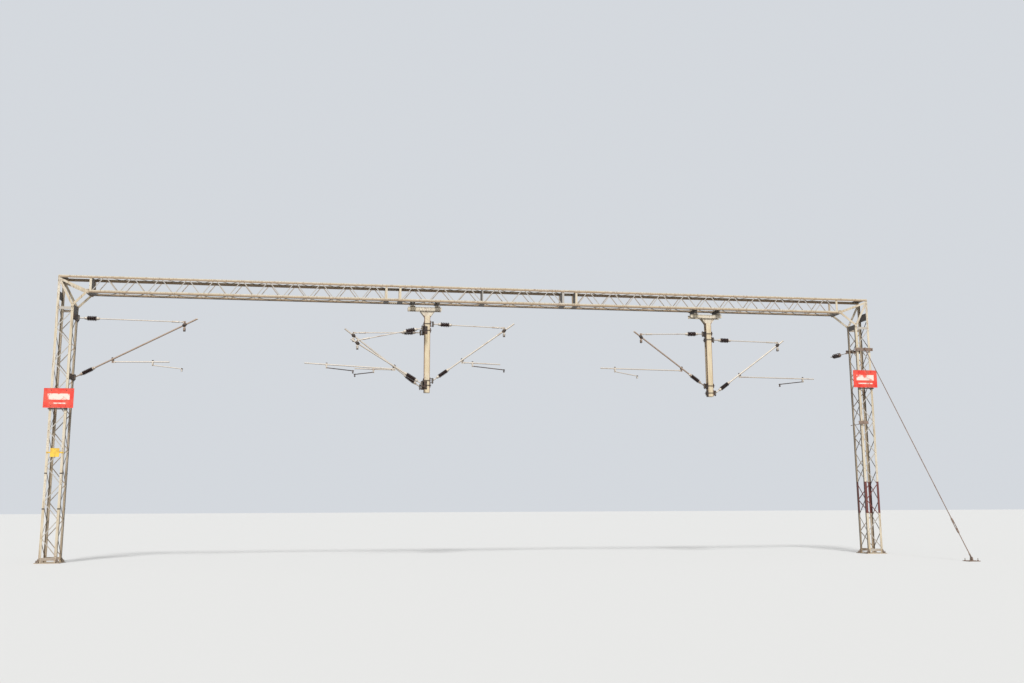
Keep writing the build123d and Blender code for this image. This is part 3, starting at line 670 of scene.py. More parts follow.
def addBoltAndNut(bm, place, normal, sizes=lattice):
    # Head on the outer side of a wall and its nut on the inner side
    place, normal = Vector(place), Vector(normal)
    addBolt(bm, place, normal, sizes["bolt"])
    addBolt(bm, place - normal * sizes["wall"], -normal, sizes["bolt"], lattice["nutStub"])


def boomLengths():
    ends, splices, half = portal["boomEnds"], portal["splices"], portal["spliceHalf"]
    return {
        "left": evenSteps(ends[0], splices[0] - half, lattice["bayPitch"]),
        "middle": evenSteps(splices[0] + half, splices[1] - half, lattice["bayPitch"], 2),
        "right": evenSteps(splices[1] + half, portal["span"] - ends[1], lattice["bayPitch"]),
    }


def makeBoomBolts(name, posts):
    bm = bmesh.new()
    low = portal["boomBottom"] + lattice["inset"]
    high = portal["boomTop"] - lattice["inset"]
    reach = portal["halfDepth"] - lattice["inset"]
    gap = lattice["lacingGap"]
    for left, right in zip(posts, posts[1:]):
        middle = (left + right) / 2
        for side in bothWays:
            for x, z in ((left + gap, low), (middle - gap, high), (middle + gap, high), (right - gap, low)):
                addBoltAndNut(bm, (x, side * portal["halfDepth"], z), (0, side, 0))
        for x, lean in ((left, -1), (middle, 1)):
            # Alternate ends of the flat lacing, under and over the boom
            addBoltAndNut(bm, (x, lean * reach, portal["boomBottom"]), (0, 0, -1))
            addBoltAndNut(bm, (x, -lean * reach, portal["boomTop"]), (0, 0, 1))
    finishPiece(bm, "boom_" + name + "_bolts", "frame", "bolt")


def zigzag(low, high):
    # Ends of an upright's flat lacing, which lean to either leg in turn
    stations = evenSteps(low, high, lattice["uprightPitch"])
    return [(-1 if i % 2 else 1, z) for i, z in enumerate(stations)]


def makeUprightBolts(name, middle, outer):
    bm = bmesh.new()
    start, batten = lattice["lacingStart"], lattice["batten"]
    strut = portal["innerLegTop"] - lattice["strutDrop"]
    reachX = portal["halfWidth"] - lattice["inset"]
    reachY = portal["halfDepth"] - lattice["inset"]
    faceBolts = zigzag(start, strut - batten)
    for height in (start - batten, strut):
        faceBolts += [(end, height + way * lattice["battenBolt"]) for end in bothWays for way in bothWays]
    for side in bothWays:
        for lean, z in faceBolts:
            if side == 1 or not any(low < z < high for low, high in lattice["covered"][name]):
                addBoltAndNut(bm, (middle + lean * reachX, side * portal["halfDepth"], z), (0, side, 0))
    for side, (low, high) in (outer, lattice["outerPlate"]), (-outer, lattice["innerPlate"][name]):
        sideBolts = zigzag(start, low + lattice["plateOverlap"])[:-1]
        for share in lattice["plateBolts"]:
            sideBolts += [(end, low + (high - low) * share) for end in bothWays]
        for lean, z in sideBolts:
            addBoltAndNut(bm, (middle + side * portal["halfWidth"], lean * reachY, z), (side, 0, 0))
    finishPiece(bm, name + "_upright_bolts", "frame", "bolt")


joints = {
    "bolt": 0.012,
    "wall": 0.018,                # of a splice plate and the chord behind it
    "spliceSteps": (0.040, 0.098, 0.155),
    "spliceLine": 0.045,          # from the boom's edges to a row of splice bolts
    "gussetBolts": ((-0.024, -0.050), (0.024, -0.050), (-0.024, 0.050), (0.024, 0.050)),
    "kneeFace": 0.320,
    "kneeCorner": 9.215,
    "kneeLeg": 8.345,
    "kneeChord": 8.820,
    "kneeSide": 0.2275,
    "kneeReach": (0.675, 0.845),
}


def makeJointBolts():
    # Splice plates and knee gussets
    bm = bmesh.new()
    rows = portal["boomTop"] - joints["spliceLine"], portal["boomBottom"] + joints["spliceLine"]
    for x in portal["splices"]:
        for step in joints["spliceSteps"]:
            for way, side in fourWays:
                for z in rows:
                    addBoltAndNut(bm, (x + way * step, side * portal["halfDepth"], z), (0, side, 0), joints)
    for middle, outer, reach in zip((0, portal["span"]), bothWays, joints["kneeReach"]):
        gussets = (
            (middle + outer * joints["kneeSide"], joints["kneeCorner"]),
            (middle - outer * joints["kneeSide"], joints["kneeLeg"]),
            (middle - outer * reach, joints["kneeChord"]),
        )
        for x, z in gussets:
            for shiftX, shiftZ in joints["gussetBolts"]:
                for side in bothWays:
                    place = (x + shiftX, side * joints["kneeFace"], z + shiftZ)
                    addBolt(bm, place, (0, side, 0), joints["bolt"])
    finishPiece(bm, "joint_bolts", "frame", "bolt")


hanger = {
    "shift": 0.095,               # towards the left upright, from the arm
    "pairHalf": 0.430,
    "flangeLine": 0.055,          # from a pair's middle to its bolts
    "chordLine": 0.265,
    "longLine": 0.125,
    "crossTop": 8.767,            # under the cross channels' upper flanges
    "chordFlange": 8.785,
    "crossBottom": 8.623,
    "longTop": 8.607,
    "longBottom": 8.513,
    "headUnder": 8.491,
    "headReach": 0.205,
    "bolt": 0.013,
    "stub": 0.018,
}


def addThroughBolt(bm, x, y, low, high):
    # Upright bolt with its nut under low and its head on high
    addBolt(bm, (x, y, hanger[low]), (0, 0, -1), hanger["bolt"], hanger["stub"])
    addBolt(bm, (x, y, hanger[high]), (0, 0, 1), hanger["bolt"])


def makeHangerBolts():
    bm = bmesh.new()
    for arm in portal["arms"]:
        for pair, flange in fourWays:
            x = arm - hanger["shift"] + pair * hanger["pairHalf"] + flange * hanger["flangeLine"]
            for side in bothWays:
                addThroughBolt(bm, x, side * hanger["chordLine"], "crossTop", "chordFlange")
                addThroughBolt(bm, x, side * hanger["longLine"], "longTop", "crossBottom")
        for end, side in fourWays:
            addThroughBolt(bm, arm + end * hanger["headReach"], side * hanger["longLine"], "headUnder",
                           "longBottom")
    finishPiece(bm, "hanger_bolts", "frame", "bolt")


swivel = {
    "pinFace": 0.0795,            # from a pin's middle to its bracket's outer faces
    "pinSize": 0.021,
    "pinStub": 0.012,
    "bolt": 0.014,
    "stub": 0.024,
    "armFace": 0.122,             # from an arm's middle to the plates' outer faces
    "armLine": 0.116,
    "uprightFace": 0.2945,
    "uprightLine": 0.270,
    "uprightRows": (-0.058, 0.058),
}


def makeSwivelBolts():
    bm = bmesh.new()
    clamped = set()
    for name, carried in cantilevers.items():
        at = cantileverPlaces(name)
        arm, side = carried["arm"], carried["side"]
        for pin in (at["foot"], at["head"]):
            addBolt(bm, raised(pin, swivel["pinFace"]), (0, 0, 1), swivel["pinSize"])
            addBolt(bm, raised(pin, -swivel["pinFace"]), (0, 0, -1), swivel["pinSize"], swivel["pinStub"])
            if arm is None:
                for y in (-swivel["uprightLine"], swivel["uprightLine"]):
                    for row in swivel["uprightRows"]:
                        addBolt(bm, (swivel["uprightFace"], y, pin.z + row), (1, 0, 0), swivel["bolt"])
            elif (arm, side, pin.z) not in clamped:
                # The two cantilevers of the double bracket share their bolts
                clamped.add((arm, side, pin.z))
                x, face = portal["arms"][arm], side * swivel["armFace"]
                for y in (-swivel["armLine"], swivel["armLine"]):
                    addBolt(bm, (x + face, y, pin.z), (side, 0, 0), swivel["bolt"])
                    addBolt(bm, (x - face, y, pin.z), (-side, 0, 0), swivel["bolt"], swivel["stub"])
    finishPiece(bm, "swivel_bolts", "frame", "dark")


crossBeam = {
    "size": (0.036, 0.800, 0.150),
    "back": 0.159,                # from the arm's middle to the beam's outer side
    "flange": 0.012,
    "ribs": (-0.34, -0.17, 0.17, 0.34),
    "ribWall": 0.010,
    "ribShort": 0.020,           # of the beam's height
    "cleatHigh": 0.280,
    "cleatReach": 0.006,          # past the arm's middle
    "cleatLeg": 0.110,
    "cleatWall": 0.014,
    "cleatRows": (-0.095, 0.095),
    "backBolt": 0.055,            # from the beam's outer side
    "frontBolt": 0.030,           # from the cleat's front edge
    "legBolt": 0.066,             # from the arm's side
    "bolt": 0.014,
    "stub": 0.010,
}


def addCleat(bm, back, side, z):
    # One leg lies on the arm's flange and the other on the beam, whose outer side is at back
    wall, high, leg = crossBeam["cleatWall"], crossBeam["cleatHigh"], crossBeam["cleatLeg"]
    size, stub = crossBeam["bolt"], crossBeam["stub"]
    front = portal["arms"][0] + crossBeam["cleatReach"]
    face = portal["armHalf"]
    addBlock(bm, ((back + front) / 2, side * (face + wall / 2), z), (front - back, wall, high), 0.003)
    addBlock(bm, (back - wall / 2, side * (face + leg / 2), z), (wall, leg, high), 0.003)
    for row in crossBeam["cleatRows"]:
        for x in (back + crossBeam["backBolt"], front - crossBeam["frontBolt"]):
            addBolt(bm, (x, side * (face + wall), z + row), (0, side, 0), size, stub)
        addBolt(bm, (back - wall, side * (face + crossBeam["legBolt"]), z + row), (-1, 0, 0), size, stub)


def makeCrossBeams():
    # Channel along each cross plate of the double bracket, with ribs between its flanges, and the
    # two angle cleats that hold it on the arm's flanges
    bm = bmesh.new()
    at = cantileverPlaces("first_near")
    deep, wide, high = crossBeam["size"]
    flange = crossBeam["flange"]
    back = portal["arms"][0] - crossBeam["back"]
    x = back + deep / 2
    for z in (at["foot"].z, at["head"].z):
        for way in bothWays:
            addBlock(bm, (x, 0, z + way * (high - flange) / 2), (deep, wide, flange), 0.002)
        for y in crossBeam["ribs"]:
            addBlock(bm, (x, y, z), (deep, crossBeam["ribWall"], high - crossBeam["ribShort"]), 0.001)
        for side in bothWays:
            addCleat(bm, back, side, z)
    finishPiece(bm, "cross_beams", "frame", "bracket")


feet = {
    "plateTop": 0.020,
    "boltX": 0.3275,
    "boltY": 0.365,
    "bolt": 0.022,
    "stub": 0.055,
    "ribLength": 0.085,
    "ribHeight": 0.150,
    "ribEnd": 0.022,              # height of its low end
    "ribWall": 0.010,
    "ribInset": 0.016,            # from a leg's outer corner to the middle of a rib
    "guyBolt": 0.130,
    "guyY": -6.015,
}


def addRib(bm, x, y, out):
    # Plate with a sloping top that stands on a base plate and leans on a leg
    out = Vector(out)
    across = Vector((-out.y, out.x, 0))
    base = Vector((x, y, feet["plateTop"])) - across * feet["ribWall"] / 2
    reach = out * feet["ribLength"]
    offsets = Vector((0, 0, 0)), reach, raised(reach, feet["ribEnd"]), Vector((0, 0, feet["ribHeight"]))
    face = bm.faces.new([bm.verts.new(base + offset) for offset in offsets])
    made = bmesh.ops.extrude_face_region(bm, geom=[face])
    moved = [item for item in made["geom"] if isinstance(item, bmesh.types.BMVert)]
    bmesh.ops.translate(bm, vec=across * feet["ribWall"], verts=moved)


def makeFeet():
    bm = bmesh.new()
    inset = feet["ribInset"]
    for middle in (0, portal["span"]):
        for x, y in fourWays:
            place = (middle + x * feet["boltX"], y * feet["boltY"], feet["plateTop"])
            addBolt(bm, place, (0, 0, 1), feet["bolt"], feet["stub"])
            addRib(bm, middle + x * portal["halfWidth"], y * (portal["halfDepth"] - inset), (x, 0, 0))
            addRib(bm, middle + x * (portal["halfWidth"] - inset), y * portal["halfDepth"], (0, y, 0))
    for x, y in fourWays:
        place = (portal["span"] + x * feet["guyBolt"], feet["guyY"] + y * feet["guyBolt"], feet["plateTop"])
        addBolt(bm, place, (0, 0, 1), feet["bolt"], feet["stub"])
    finishPiece(bm, "foot_bolts", "frame", "bolt")


for name, posts in boomLengths().items():
    makeBoomBolts(name, posts)
makeUprightBolts("left", 0, -1)
makeUprightBolts("right", portal["span"], 1)
makeJointBolts()
makeHangerBolts()
makeSwivelBolts()
makeCrossBeams()
makeFeet()
print("frame bolts made")


# Fittings on the cantilevers

splitCollar = {
    "size": (0.018, 0.040, 0.056),
    "reach": 0.042,               # from the tube's axis to an ear's middle
    "bolt": 0.009,
    "stub": 0.006,
    "boltStep": 0.016,            # along the tube
    "boltShift": 0.006,           # outwards
}


def addEars(bm, place, way):
    # The two bolted ears of a split collar on a tube
    across = Vector((0, 1, 0))
    out = way.cross(across).normalized()
    half = splitCollar["size"][0] / 2
    for side in bothWays:
        middle = place + out * side * splitCollar["reach"]
        addBlock(bm, middle, splitCollar["size"], 0.003, turned(across, out, way))
        for end in bothWays:
            spot = middle + way * end * splitCollar["boltStep"] + out * side * splitCollar["boltShift"]
            addBolt(bm, spot - across * half, -across, splitCollar["bolt"])
            addBolt(bm, spot + across * half, across, splitCollar["bolt"], splitCollar["stub"])


hub = {
    # Half of its outline, as radius and distance from its middle
    "half": ((0.052, 0.006), (0.047, 0.012), (0.047, 0.038), (0.041, 0.046), (0.041, 0.069), (0.036, 0.075),
             (0, 0.075)),
}


def addHub(bm, place, way):
    # Cast hub on the bracket tube, for the stay and the hanging clamp
    outline = [(radius, -distance) for radius, distance in reversed(hub["half"])] + list(hub["half"])
    addSpin(bm, outline, along(place, place + way), 24)


hangingClamp = {
    "half": 0.028,                # half the cradle's width and height
    "length": 0.055,              # from its middle to either end
    "horn": (0.0364, 0.044, 0.016),
    "hornOut": 0.020,
    "hornDrop": 0.01736,
    "hornTilt": 9,                # degrees
    "keeper": (0.0644, 0.026, 0.008),
    "hookRadius": 0.005,
    "hookDrop": 0.020,            # below the cradle
    "hookLength": 0.098,
    "nut": 0.009,
}


def addHangingClamp(bm, seat):
    # Horns of the cradle, its keepers and its hook bolts
    half, hook, wall = hangingClamp["half"], hangingClamp["hookRadius"], hangingClamp["keeper"][2]
    for end in bothWays:
        y = end * (hangingClamp["length"] + hangingClamp["hornOut"])
        tilt = Matrix.Rotation(math.radians(-end * hangingClamp["hornTilt"]), 4, "X")
        addBlock(bm, seat + Vector((0, y, -hangingClamp["hornDrop"])), hangingClamp["horn"], 0.003, tilt)
        y = end * hangingClamp["length"] / 2
        addBlock(bm, seat + Vector((0, y, half + wall / 2)), hangingClamp["keeper"], 0.002)
        bottom = -half - hangingClamp["hookDrop"]
        ends = [seat + Vector((side * (half + hook), y, bottom)) for side in bothWays]
        for low in ends:
            addRod(bm, low, raised(low, hangingClamp["hookLength"]), hook, 8)
            addBolt(bm, raised(low, half + wall - bottom), (0, 0, 1), hangingClamp["nut"])
        addRod(bm, *ends, hook, 8)


tubeCap = {
    "wall": 0.003,
    "cover": 0.024,               # length of the tube that it covers
    "length": 0.031,
    "taper": 0.004,
}


def addTubeEnd(bm, end, way, radius):
    rim, cover, length = radius + tubeCap["wall"], tubeCap["cover"], tubeCap["length"]
    outline = [(0, 0), (rim, 0), (rim, cover), (radius - tubeCap["taper"], length), (0, length)]
    start = end - way * cover
    addSpin(bm, outline, along(start, end), 20)


fitting = {
    "neckLength": 0.040,
    "rimLength": 0.018,
    "registerDrop": 0.092,
    "steadyDrop": 0.110,
    "lugHalf": 0.007,
    "tongueFace": 0.021,
    "pivot": 0.014,
    "cheekFace": 0.0305,
    "steadyPivot": 0.0119,
    "stub": 0.014,
    "adjusters": (0.336, 0.126),  # from the stay tube's end to its two lock nuts
    "stayTongue": 0.070,
    "lockNut": 0.031,
    "lockNutHalf": 0.015,
    "tubeRadius": 0.027,
    "registerRadius": 0.020,
}


def addCapRings(bm, start, way, length):
    # Necks and rims of the two iron caps that hold a porcelain body
    radius, cap, wide = porcelain["capRadius"], porcelain["capLength"], fitting["rimLength"]
    neck = [(0, 0), (0.022, 0), (0.034, 0.012), (radius * 0.92, 0.034), (radius, 0.042), (0, 0.042)]
    lip = radius + 0.006
    rim = [(0, 0), (radius, 0), (lip, 0.004), (lip, wide - 0.004), (radius, wide), (0, wide)]
    near = start + way * porcelain["capStart"]
    far = near + way * (2 * cap + length)
    for place, direction in ((near, way), (far, -way)):
        addSpin(bm, neck, along(place - direction * fitting["neckLength"], place), 20)
        inner = place + direction * (cap - wide)
        addSpin(bm, rim, along(inner, inner + direction), 20)


def addCrossBolt(bm, place, near, far, size):
    # Bolt along Y through a lug and its tongue
    addBolt(bm, place - Vector((0, near, 0)), (0, -1, 0), size)
    addBolt(bm, place + Vector((0, far, 0)), (0, 1, 0), size, fitting["stub"])


def makeFittings(name):
    at = cantileverPlaces(name)
    registerStart, registerEnd = cantilevers[name]["register"]
    tube, stay = at["tubeWay"], at["stayWay"]
    grip = at["foot"] + tube * (registerStart / abs(tube.x))
    start = raised(grip, -fitting["registerDrop"])
    overPin = raised(at["steadyPin"], fitting["steadyDrop"])
    register = (overPin - start).normalized()
    end = start + register * ((registerEnd - registerStart) / abs(register.x))

    bm = bmesh.new()
    addHub(bm, at["clamp"], tube)
    addEars(bm, at["clamp"], tube)
    addEars(bm, grip, tube)
    addEars(bm, overPin, register)
    for place in (at["stayEnd"], start):
        addCrossBolt(bm, place, fitting["lugHalf"], fitting["tongueFace"], fitting["pivot"])
    addCrossBolt(bm, at["steadyPin"], fitting["cheekFace"], fitting["cheekFace"], fitting["steadyPivot"])
    addHangingClamp(bm, at["seat"])
    finishPiece(bm, name + "_fittings", name + "_cantilever", "dark", smooth=40)

    bm = bmesh.new()
    addCapRings(bm, at["foot"], tube, porcelain["bracket"][0])
    addCapRings(bm, at["head"], stay, porcelain["stay"][0])
    addTubeEnd(bm, at["clamp"] + tube * cantilevers[name]["tail"], tube, fitting["tubeRadius"])
    addTubeEnd(bm, end, register, fitting["registerRadius"])
    stop = at["stayEnd"] - stay * fitting["stayTongue"]
    half = stay * fitting["lockNutHalf"]
    for distance in fitting["adjusters"]:
        middle = stop - stay * distance
        addRod(bm, middle - half, middle + half, fitting["lockNut"], 6, 0.002)
    finishPiece(bm, name + "_tube_ends", name + "_cantilever", "tube", smooth=40)


clip = {
    "height": 0.074,              # from the clip's hole to the steady arm's end
    "jaw": (0.006, 0.046, 0.040),
    "jawOut": 0.020,
    "lift": 0.006,
    "screwY": 0.013,
    "screw": 0.006,
    "collar": ((0, 0), (0.020, 0), (0.023, 0.004), (0.023, 0.040), (0.020, 0.044), (0, 0.044)),
    "plugReach": 0.030,
    "plugRadius": 0.016,
}


def makeClip(name):
    # Jaws of the clip, and the collar and plug of the steady arm's end
    at = cantileverPlaces(name)
    armEnd = raised(at["tip"], clip["height"])
    way = (armEnd - at["steadyPin"]).normalized()
    bm = bmesh.new()
    for side in bothWays:
        middle = at["tip"] + Vector((side * clip["jawOut"], 0, clip["lift"]))
        addBlock(bm, middle, clip["jaw"], 0.002)
        for end in bothWays:
            spot = middle + Vector((side * clip["jaw"][0] / 2, end * clip["screwY"], clip["lift"]))
            addBolt(bm, spot, (side, 0, 0), clip["screw"])
    base = armEnd - way * clip["collar"][-1][1] / 2
    addSpin(bm, clip["collar"], along(base, armEnd), 16)
    addTubeEnd(bm, armEnd + way * clip["plugReach"], way, clip["plugRadius"])
    finishPiece(bm, name + "_clip_jaws", name + "_steady_arm_body", "dark", smooth=40)


for name in cantilevers:
    makeFittings(name)
    makeClip(name)
print("cantilever fittings made")


# Guy and strain insulator

tongue = {
    "width": 0.060,
    "wall": 0.014,
    "length": 0.150,
    "forged": ((0, 0), (0.012, 0), (0.026, 0.03), (0.018, 0.09), (0.014, 0.13), (0, 0.13)),
    "forgedBack": 0.040,          # from the flat's end to where the forged neck begins
    "boltNear": 0.027,            # from the tongue's middle to the lug's far side
}


def addTongue(bm, place, way, normal):
    # Flat end with a round eye, pinned at place and forged into a rod
    across = normal.cross(way).normalized()
    length, width, wall = tongue["length"], tongue["width"], tongue["wall"]
    addBlock(bm, place + way * length / 2, (wall, width, length), 0.002, turned(normal, across, way))
    addRod(bm, place - normal * wall / 2, place + normal * wall / 2, width / 2, 20, 0.002)
    start = place + way * (length - tongue["forgedBack"])
    addSpin(bm, tongue["forged"], along(start, start + way), 16)


guy = {
    "top": (28.147, -0.415, 7.430),
    "foot": (28.147, -6.015, 0.075),
    "rod": 0.014,
    "rodStart": 0.120,            # from either bolt
    "threads": (0.070, 0.090),    # of the rods inside the turnbuckle, past its heads
    "bolt": 0.016,
    "stub": 0.016,
    "buckle": (0.980, 1.500),     # from the foot's bolt
    "buckleHead": 0.075,
    "buckleRadius": 0.030,
    "chamfer": 0.012,
    "lockNut": (0.0255, 0.024),   # radius and length
    "cheek": (0.012, 0.030),
    "cheekReach": 0.024,
}


def makeGuy():
    top, bottom = Vector(guy["top"]), Vector(guy["foot"])
    up = (top - bottom).normalized()
    side = Vector((1, 0, 0))
    bm = bmesh.new()
    low, high = (bottom + up * distance for distance in guy["buckle"])
    head, start = guy["buckleHead"], up * guy["rodStart"]
    lowThread, highThread = guy["threads"]
    addRod(bm, bottom + start, low + up * (head + lowThread), guy["rod"], 16)
    addRod(bm, high - up * (head + highThread), top - start, guy["rod"], 16)
    for place, way in ((top, -up), (bottom, up)):
        addTongue(bm, place, way, side)
        addBolt(bm, place - side * tongue["boltNear"], -side, guy["bolt"])
        addBolt(bm, place + side * tongue["wall"] / 2, side, guy["bolt"], guy["stub"])
    # Turnbuckle: two heads, two cheeks and a lock nut at each end
    radius, chamfer = guy["buckleRadius"], guy["chamfer"]
    barrel = [(0, 0), (radius * 0.72, 0), (radius, chamfer), (radius, head - chamfer), (radius * 0.8, head),
              (0, head)]
    nutRadius, nutLength = guy["lockNut"]
    for end, way in ((low, up), (high, -up)):
        addSpin(bm, barrel, along(end, end + way), 20)
        addRod(bm, end - way * nutLength, end, nutRadius, 6, 0.002)
    size = (*guy["cheek"], (high - low).length - head * 1.2)
    turn = turned(side, up.cross(side).normalized(), up)
    for way in bothWays:
        addBlock(bm, (low + high) / 2 + side * way * guy["cheekReach"], size, 0.003, turn)
    finishPiece(bm, "guy_stay", "frame", "anchor", replaced=("guy_rod",), smooth=40)


strain = {
    "start": (27.930, 0.415, 7.407),
    "turn": 8.5,                  # degrees towards the left upright
    "body": 0.560,                # from the lug's bolt to the porcelain
    "length": 0.400,
    "sheds": 6,
    "core": 0.042,
    "shed": 0.086,
    "eye": 0.150,                 # from the porcelain to the middle of the open eye
    "eyeHole": 0.011,
    "eyeRadius": 0.030,
    "eyeHalf": 0.010,
    "eyeChamfer": 0.004,
    "neck": 0.012,
    "cap": 0.055,
    "capNeck": 0.015,
    "capRadius": 0.050,
    "rod": 0.010,
    "rodStart": 0.120,
    "bolt": 0.015,
    "stub": 0.014,
}


def makeStrain():
    start = Vector(strain["start"])
    angle = math.radians(strain["turn"])
    way = Vector((-math.sin(angle), math.cos(angle), 0))
    body = start + way * strain["body"]
    back = body + way * strain["length"]
    eye = back + way * strain["eye"]

    bm = bmesh.new()
    sheds = shedOutline(strain["length"], strain["core"], strain["shed"], strain["sheds"])
    addSpin(bm, sheds, along(body, back), 28)
    finishPiece(bm, "strain_porcelain", "frame", "glaze", replaced=("strain_insulator",),
                smooth=40)

    bm = bmesh.new()
    up = Vector((0, 0, 1))
    radius, cap = strain["capRadius"], strain["cap"]
    bell = [(0, 0), (0.013, 0), (0.022, 0.014), (radius * 0.9, 0.030), (radius, 0.040), (radius, cap + 0.03),
            (radius - 0.005, cap + 0.036), (0, cap + 0.036)]
    reach = way * (cap + strain["capNeck"])
    addSpin(bm, bell, along(body - reach, body), 24)
    addSpin(bm, bell, along(back + reach, back), 24)
    addRod(bm, start + way * strain["rodStart"], body - way * cap, strain["rod"], 12)
    addTongue(bm, start, way, up)
    addBolt(bm, raised(start, tongue["wall"] / 2), up, strain["bolt"])
    addBolt(bm, raised(start, -tongue["boltNear"]), -up, strain["bolt"], strain["stub"])
    # Neck and open eye
    hole, outer, half = strain["eyeHole"], strain["eyeRadius"], strain["eyeHalf"]
    inner, flat = outer - strain["eyeChamfer"], half - strain["eyeChamfer"]
    addRod(bm, back + way * cap, eye - way * outer * 0.8, strain["neck"], 12)
    ring = [(hole, -half), (inner, -half), (outer, -flat), (outer, flat), (inner, half), (hole, half),
            (hole, -half)]
    addSpin(bm, ring, Matrix.Translation(eye), 24)
    finishPiece(bm, "strain_fittings", "frame", "anchor", replaced=("strain_insulator",),
                smooth=40)


makeGuy()
makeStrain()
print("guy and strain insulator made")


# Boards, number plate and bands

boards = {
    "places": ((0.0, 5.25), (28.13, 6.33)),
    "size": (0.930, 0.640),
    "back": -0.310,
    "wall": 0.004,
    "rim": 0.016,
    "rimWall": 0.005,
    "stripes": ((0.045, 0.68, 0.200), (-0.170, 0.56, 0.040)),   # height, length and width
    "stripeWall": 0.0012,
    "bolt": 0.011,
    "edgeBolt": 0.0088,
    "boltX": 0.2325,
    "boltZ": 0.255,
    "stiffener": (0.030, 0.024, 0.560),
    "stiffenerX": 0.400,
    "shelf": (0.600, 0.045, 0.040),
    "shelfDrop": 0.352,
    "shelfBolt": 0.013,
    "shelfStub": 0.012,
}


def addFrame(bm, x, y, z, size, wall, rim):
    # Four bars round a plate that faces along Y
    width, height = size
    for way in bothWays:
        addBlock(bm, (x, y, z + way * (height - rim) / 2), (width, wall, rim), 0.001)
        addBlock(bm, (x + way * (width - rim) / 2, y, z), (rim, wall, height - rim * 2), 0.001)


def makeBoardParts():
    back, shelf, stripeWall = boards["back"], boards["shelf"], boards["stripeWall"]
    front = back - boards["wall"]
    rims, clamps, stripes = bmesh.new(), bmesh.new(), bmesh.new()
    for x, z in boards["places"]:
        addFrame(rims, x, front - boards["rimWall"] / 2, z, boards["size"], boards["rimWall"], boards["rim"])
        under = z - boards["shelfDrop"]
        addBlock(clamps, (x, back - shelf[1] / 2, under), shelf, 0.003)
        for way in bothWays:
            boltX, edgeX = x + way * boards["boltX"], x + way * boards["stiffenerX"]
            addBlock(clamps, (edgeX, back + boards["stiffener"][1] / 2, z), boards["stiffener"], 0.002)
            for end in bothWays:
                height = z + end * boards["boltZ"]
                addBolt(clamps, (boltX, front, height), (0, -1, 0), boards["bolt"])
                addBolt(clamps, (edgeX, front, height), (0, -1, 0), boards["edgeBolt"])
            spot = (boltX, back - shelf[1], under)
            addBolt(clamps, spot, (0, -1, 0), boards["shelfBolt"], boards["shelfStub"])
        for lift, length, width in boards["stripes"]:
            addBlock(stripes, (x, front - stripeWall / 2, z + lift), (length, stripeWall, width))
    finishPiece(stripes, "board_stripes", "frame", "stripe")
    finishPiece(rims, "board_rims", "frame", "board")
    finishPiece(clamps, "board_clamps", "frame", "dark")


plate = {
    "front": -0.320,
    "size": (0.280, 0.280),
    "height": 3.490,
    "rim": 0.010,
    "rimWall": 0.004,
    "rimOut": 0.001,              # from the plate's front to the rim's middle
    "bolt": 0.009,
    "boltZ": 0.112,
    "barBoltX": 0.2325,
    "barFront": -0.316,
}


def makePlateParts():
    front, height = plate["front"], plate["height"]
    bm = bmesh.new()
    addFrame(bm, 0, front - plate["rimOut"], height, plate["size"], plate["rimWall"], plate["rim"])
    finishPiece(bm, "number_plate_rim", "frame", "plate")
    bm = bmesh.new()
    for way in bothWays:
        addBolt(bm, (0, front, height + way * plate["boltZ"]), (0, -1, 0), plate["bolt"])
        addBolt(bm, (way * plate["barBoltX"], plate["barFront"], height), (0, -1, 0), plate["bolt"])
    finishPiece(bm, "number_plate_bolts", "frame", "dark")


bands = {
    "heights": (1.700, 2.830),
    "wide": 0.034,
    "wall": 0.004,
    "bolt": 0.009,
    "stub": 0.010,
}


def makeBands():
    # Steel bands round the left upright's legs
    bm = bmesh.new()
    leg, wall, wide = portal["leg"], bands["wall"], bands["wide"]
    for height in bands["heights"]:
        for x, y in fourWays:
            corner = Vector((x * portal["halfWidth"], y * portal["halfDepth"], height))
            addBlock(bm, corner + Vector((-x * leg / 2, y * wall / 2, 0)), (leg + wall * 2, wall, wide))
            addBlock(bm, corner + Vector((x * wall / 2, -y * leg / 2, 0)), (wall, leg, wide))
            spot = corner + Vector((-x * leg * 0.75, y * wall, 0))
            addBolt(bm, spot, (0, y, 0), bands["bolt"], bands["stub"])
    finishPiece(bm, "leg_bands", "frame", "dark")


anchor = {
    "bolts": ((7.430, -1), (7.430, 1), (4.655, -1)),    # height, and side of the right upright
    "out": 0.030,                 # from the legs' outer edges
    "proud": 0.050,               # of the upright's faces
    "rod": 0.010,
    "bolt": 0.016,
    "stub": 0.030,
}


def makeAnchorBolts():
    # The long bolts that clamp the anchor bars
    bm = bmesh.new()
    face = portal["halfDepth"] + anchor["proud"]
    for height, side in anchor["bolts"]:
        x = portal["span"] + side * (portal["halfWidth"] + anchor["out"])
        for y in bothWays:
            addBolt(bm, (x, y * face, height), (0, y, 0), anchor["bolt"], anchor["stub"])
        addRod(bm, (x, -face, height), (x, face, height), anchor["rod"], 10)
    finishPiece(bm, "anchor_bolts", "frame", "anchor")


makeBoardParts()
makePlateParts()
makeBands()
makeAnchorBolts()
print("boards, plate and bands made")


# Floor, light and camera

studio = {
    "floorSize": 1200,
    "floorDrop": 0.002,           # under the base plates
    "floorColour": (0.62, 0.62, 0.61),
    "backdrop": (0.66, 0.69, 0.73),
    "white": (1, 1, 1),
    "ambient": 0.42,
    "sun": 3.7,
    "sunTurn": (42, 0, -10),
    "sunSoft": 12,
}


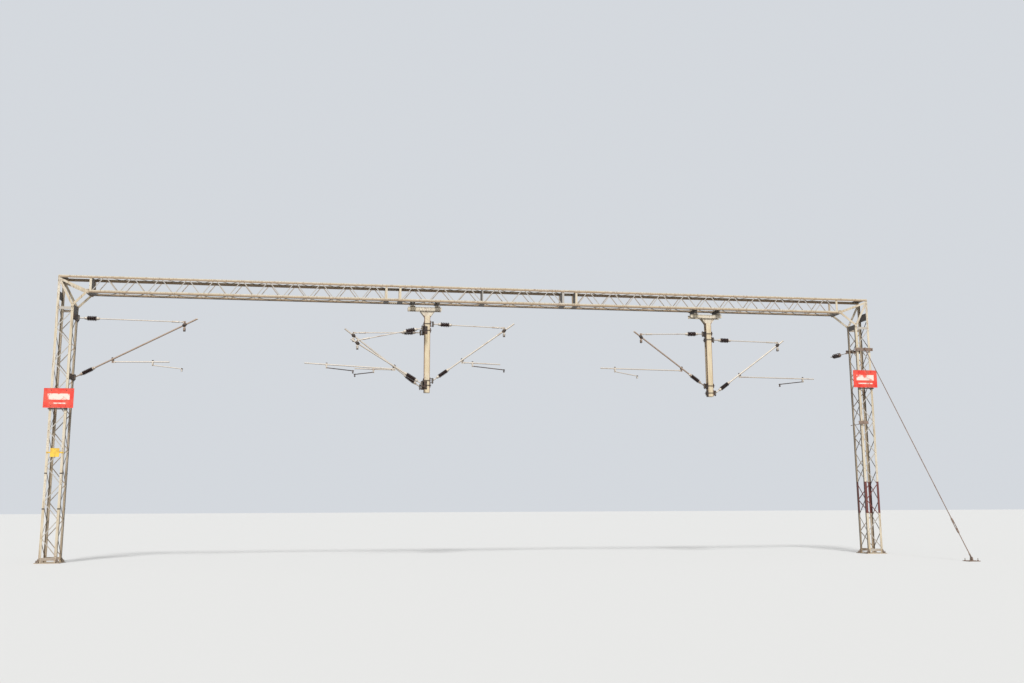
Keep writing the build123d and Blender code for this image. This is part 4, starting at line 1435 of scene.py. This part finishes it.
def makeFloor():
    bm = bmesh.new()
    bmesh.ops.create_grid(bm, x_segments=4, y_segments=4, size=studio["floorSize"])
    bmesh.ops.translate(bm, vec=(portal["span"] / 2, 0, -studio["floorDrop"]), verts=bm.verts)
    mesh = bpy.data.meshes.new("studioFloor")
    bm.to_mesh(mesh)
    bm.free()
    floor = bpy.data.objects.new("studioFloor", mesh)
    bpy.context.scene.collection.objects.link(floor)
    mesh.materials.append(Finish("studioFloorFinish").finished(studio["floorColour"], 0.9))


def makeLight():
    # The camera and mirrored rays see the backdrop, and all the others a plain white light
    sky = Finish("studioWorld", bpy.data.worlds)
    bpy.context.scene.world = sky.owner
    seen = sky.node("ShaderNodeBackground", {}, {"Color": socketColour(studio["backdrop"]), "Strength": 1.0})
    light = sky.node("ShaderNodeBackground", {}, {"Color": socketColour(studio["white"]),
                                                  "Strength": studio["ambient"]})
    direct = sky.node("ShaderNodeLightPath", output="Is Camera Ray")
    mirrored = sky.node("ShaderNodeLightPath", output="Is Glossy Ray")
    shown = sky.node("ShaderNodeMixShader", {}, {0: direct.over(mirrored), 1: light, 2: seen})
    sky.node("ShaderNodeOutputWorld", {}, {"Surface": shown})

    lamp = bpy.data.lights.new("studioSun", "SUN")
    lamp.energy = studio["sun"]
    lamp.angle = math.radians(studio["sunSoft"])
    sun = bpy.data.objects.new("studioSun", lamp)
    sun.rotation_euler = [math.radians(turn) for turn in studio["sunTurn"]]
    bpy.context.scene.collection.objects.link(sun)


view = {
    "place": (9.311, -34.836, 1.585),
    "heading": 9.2,               # degrees from +Y towards +X
    "pitch": 9.5,
    "roll": -0.26,
    "focal": 1010,                # in pixels of a frame as wide as frameWidth
    "frameWidth": 1024,
    "sensor": 36,
    "farthest": 2000,
}


def makeCamera():
    data = bpy.data.cameras.new("viewCamera")
    data.sensor_width = view["sensor"]
    data.lens = view["focal"] * view["sensor"] / view["frameWidth"]
    data.clip_end = view["farthest"]
    camera = bpy.data.objects.new("viewCamera", data)
    turns = (-view["heading"], "Z"), (90 + view["pitch"], "X"), (view["roll"], "Z")
    heading, pitch, roll = (Matrix.Rotation(math.radians(angle), 4, axis) for angle, axis in turns)
    camera.matrix_world = Matrix.Translation(view["place"]) @ heading @ pitch @ roll
    bpy.context.scene.collection.objects.link(camera)
    bpy.context.scene.camera = camera


makeFloor()
makeLight()
makeCamera()
bpy.context.scene.view_settings.view_transform = "Standard"
print("studio made")
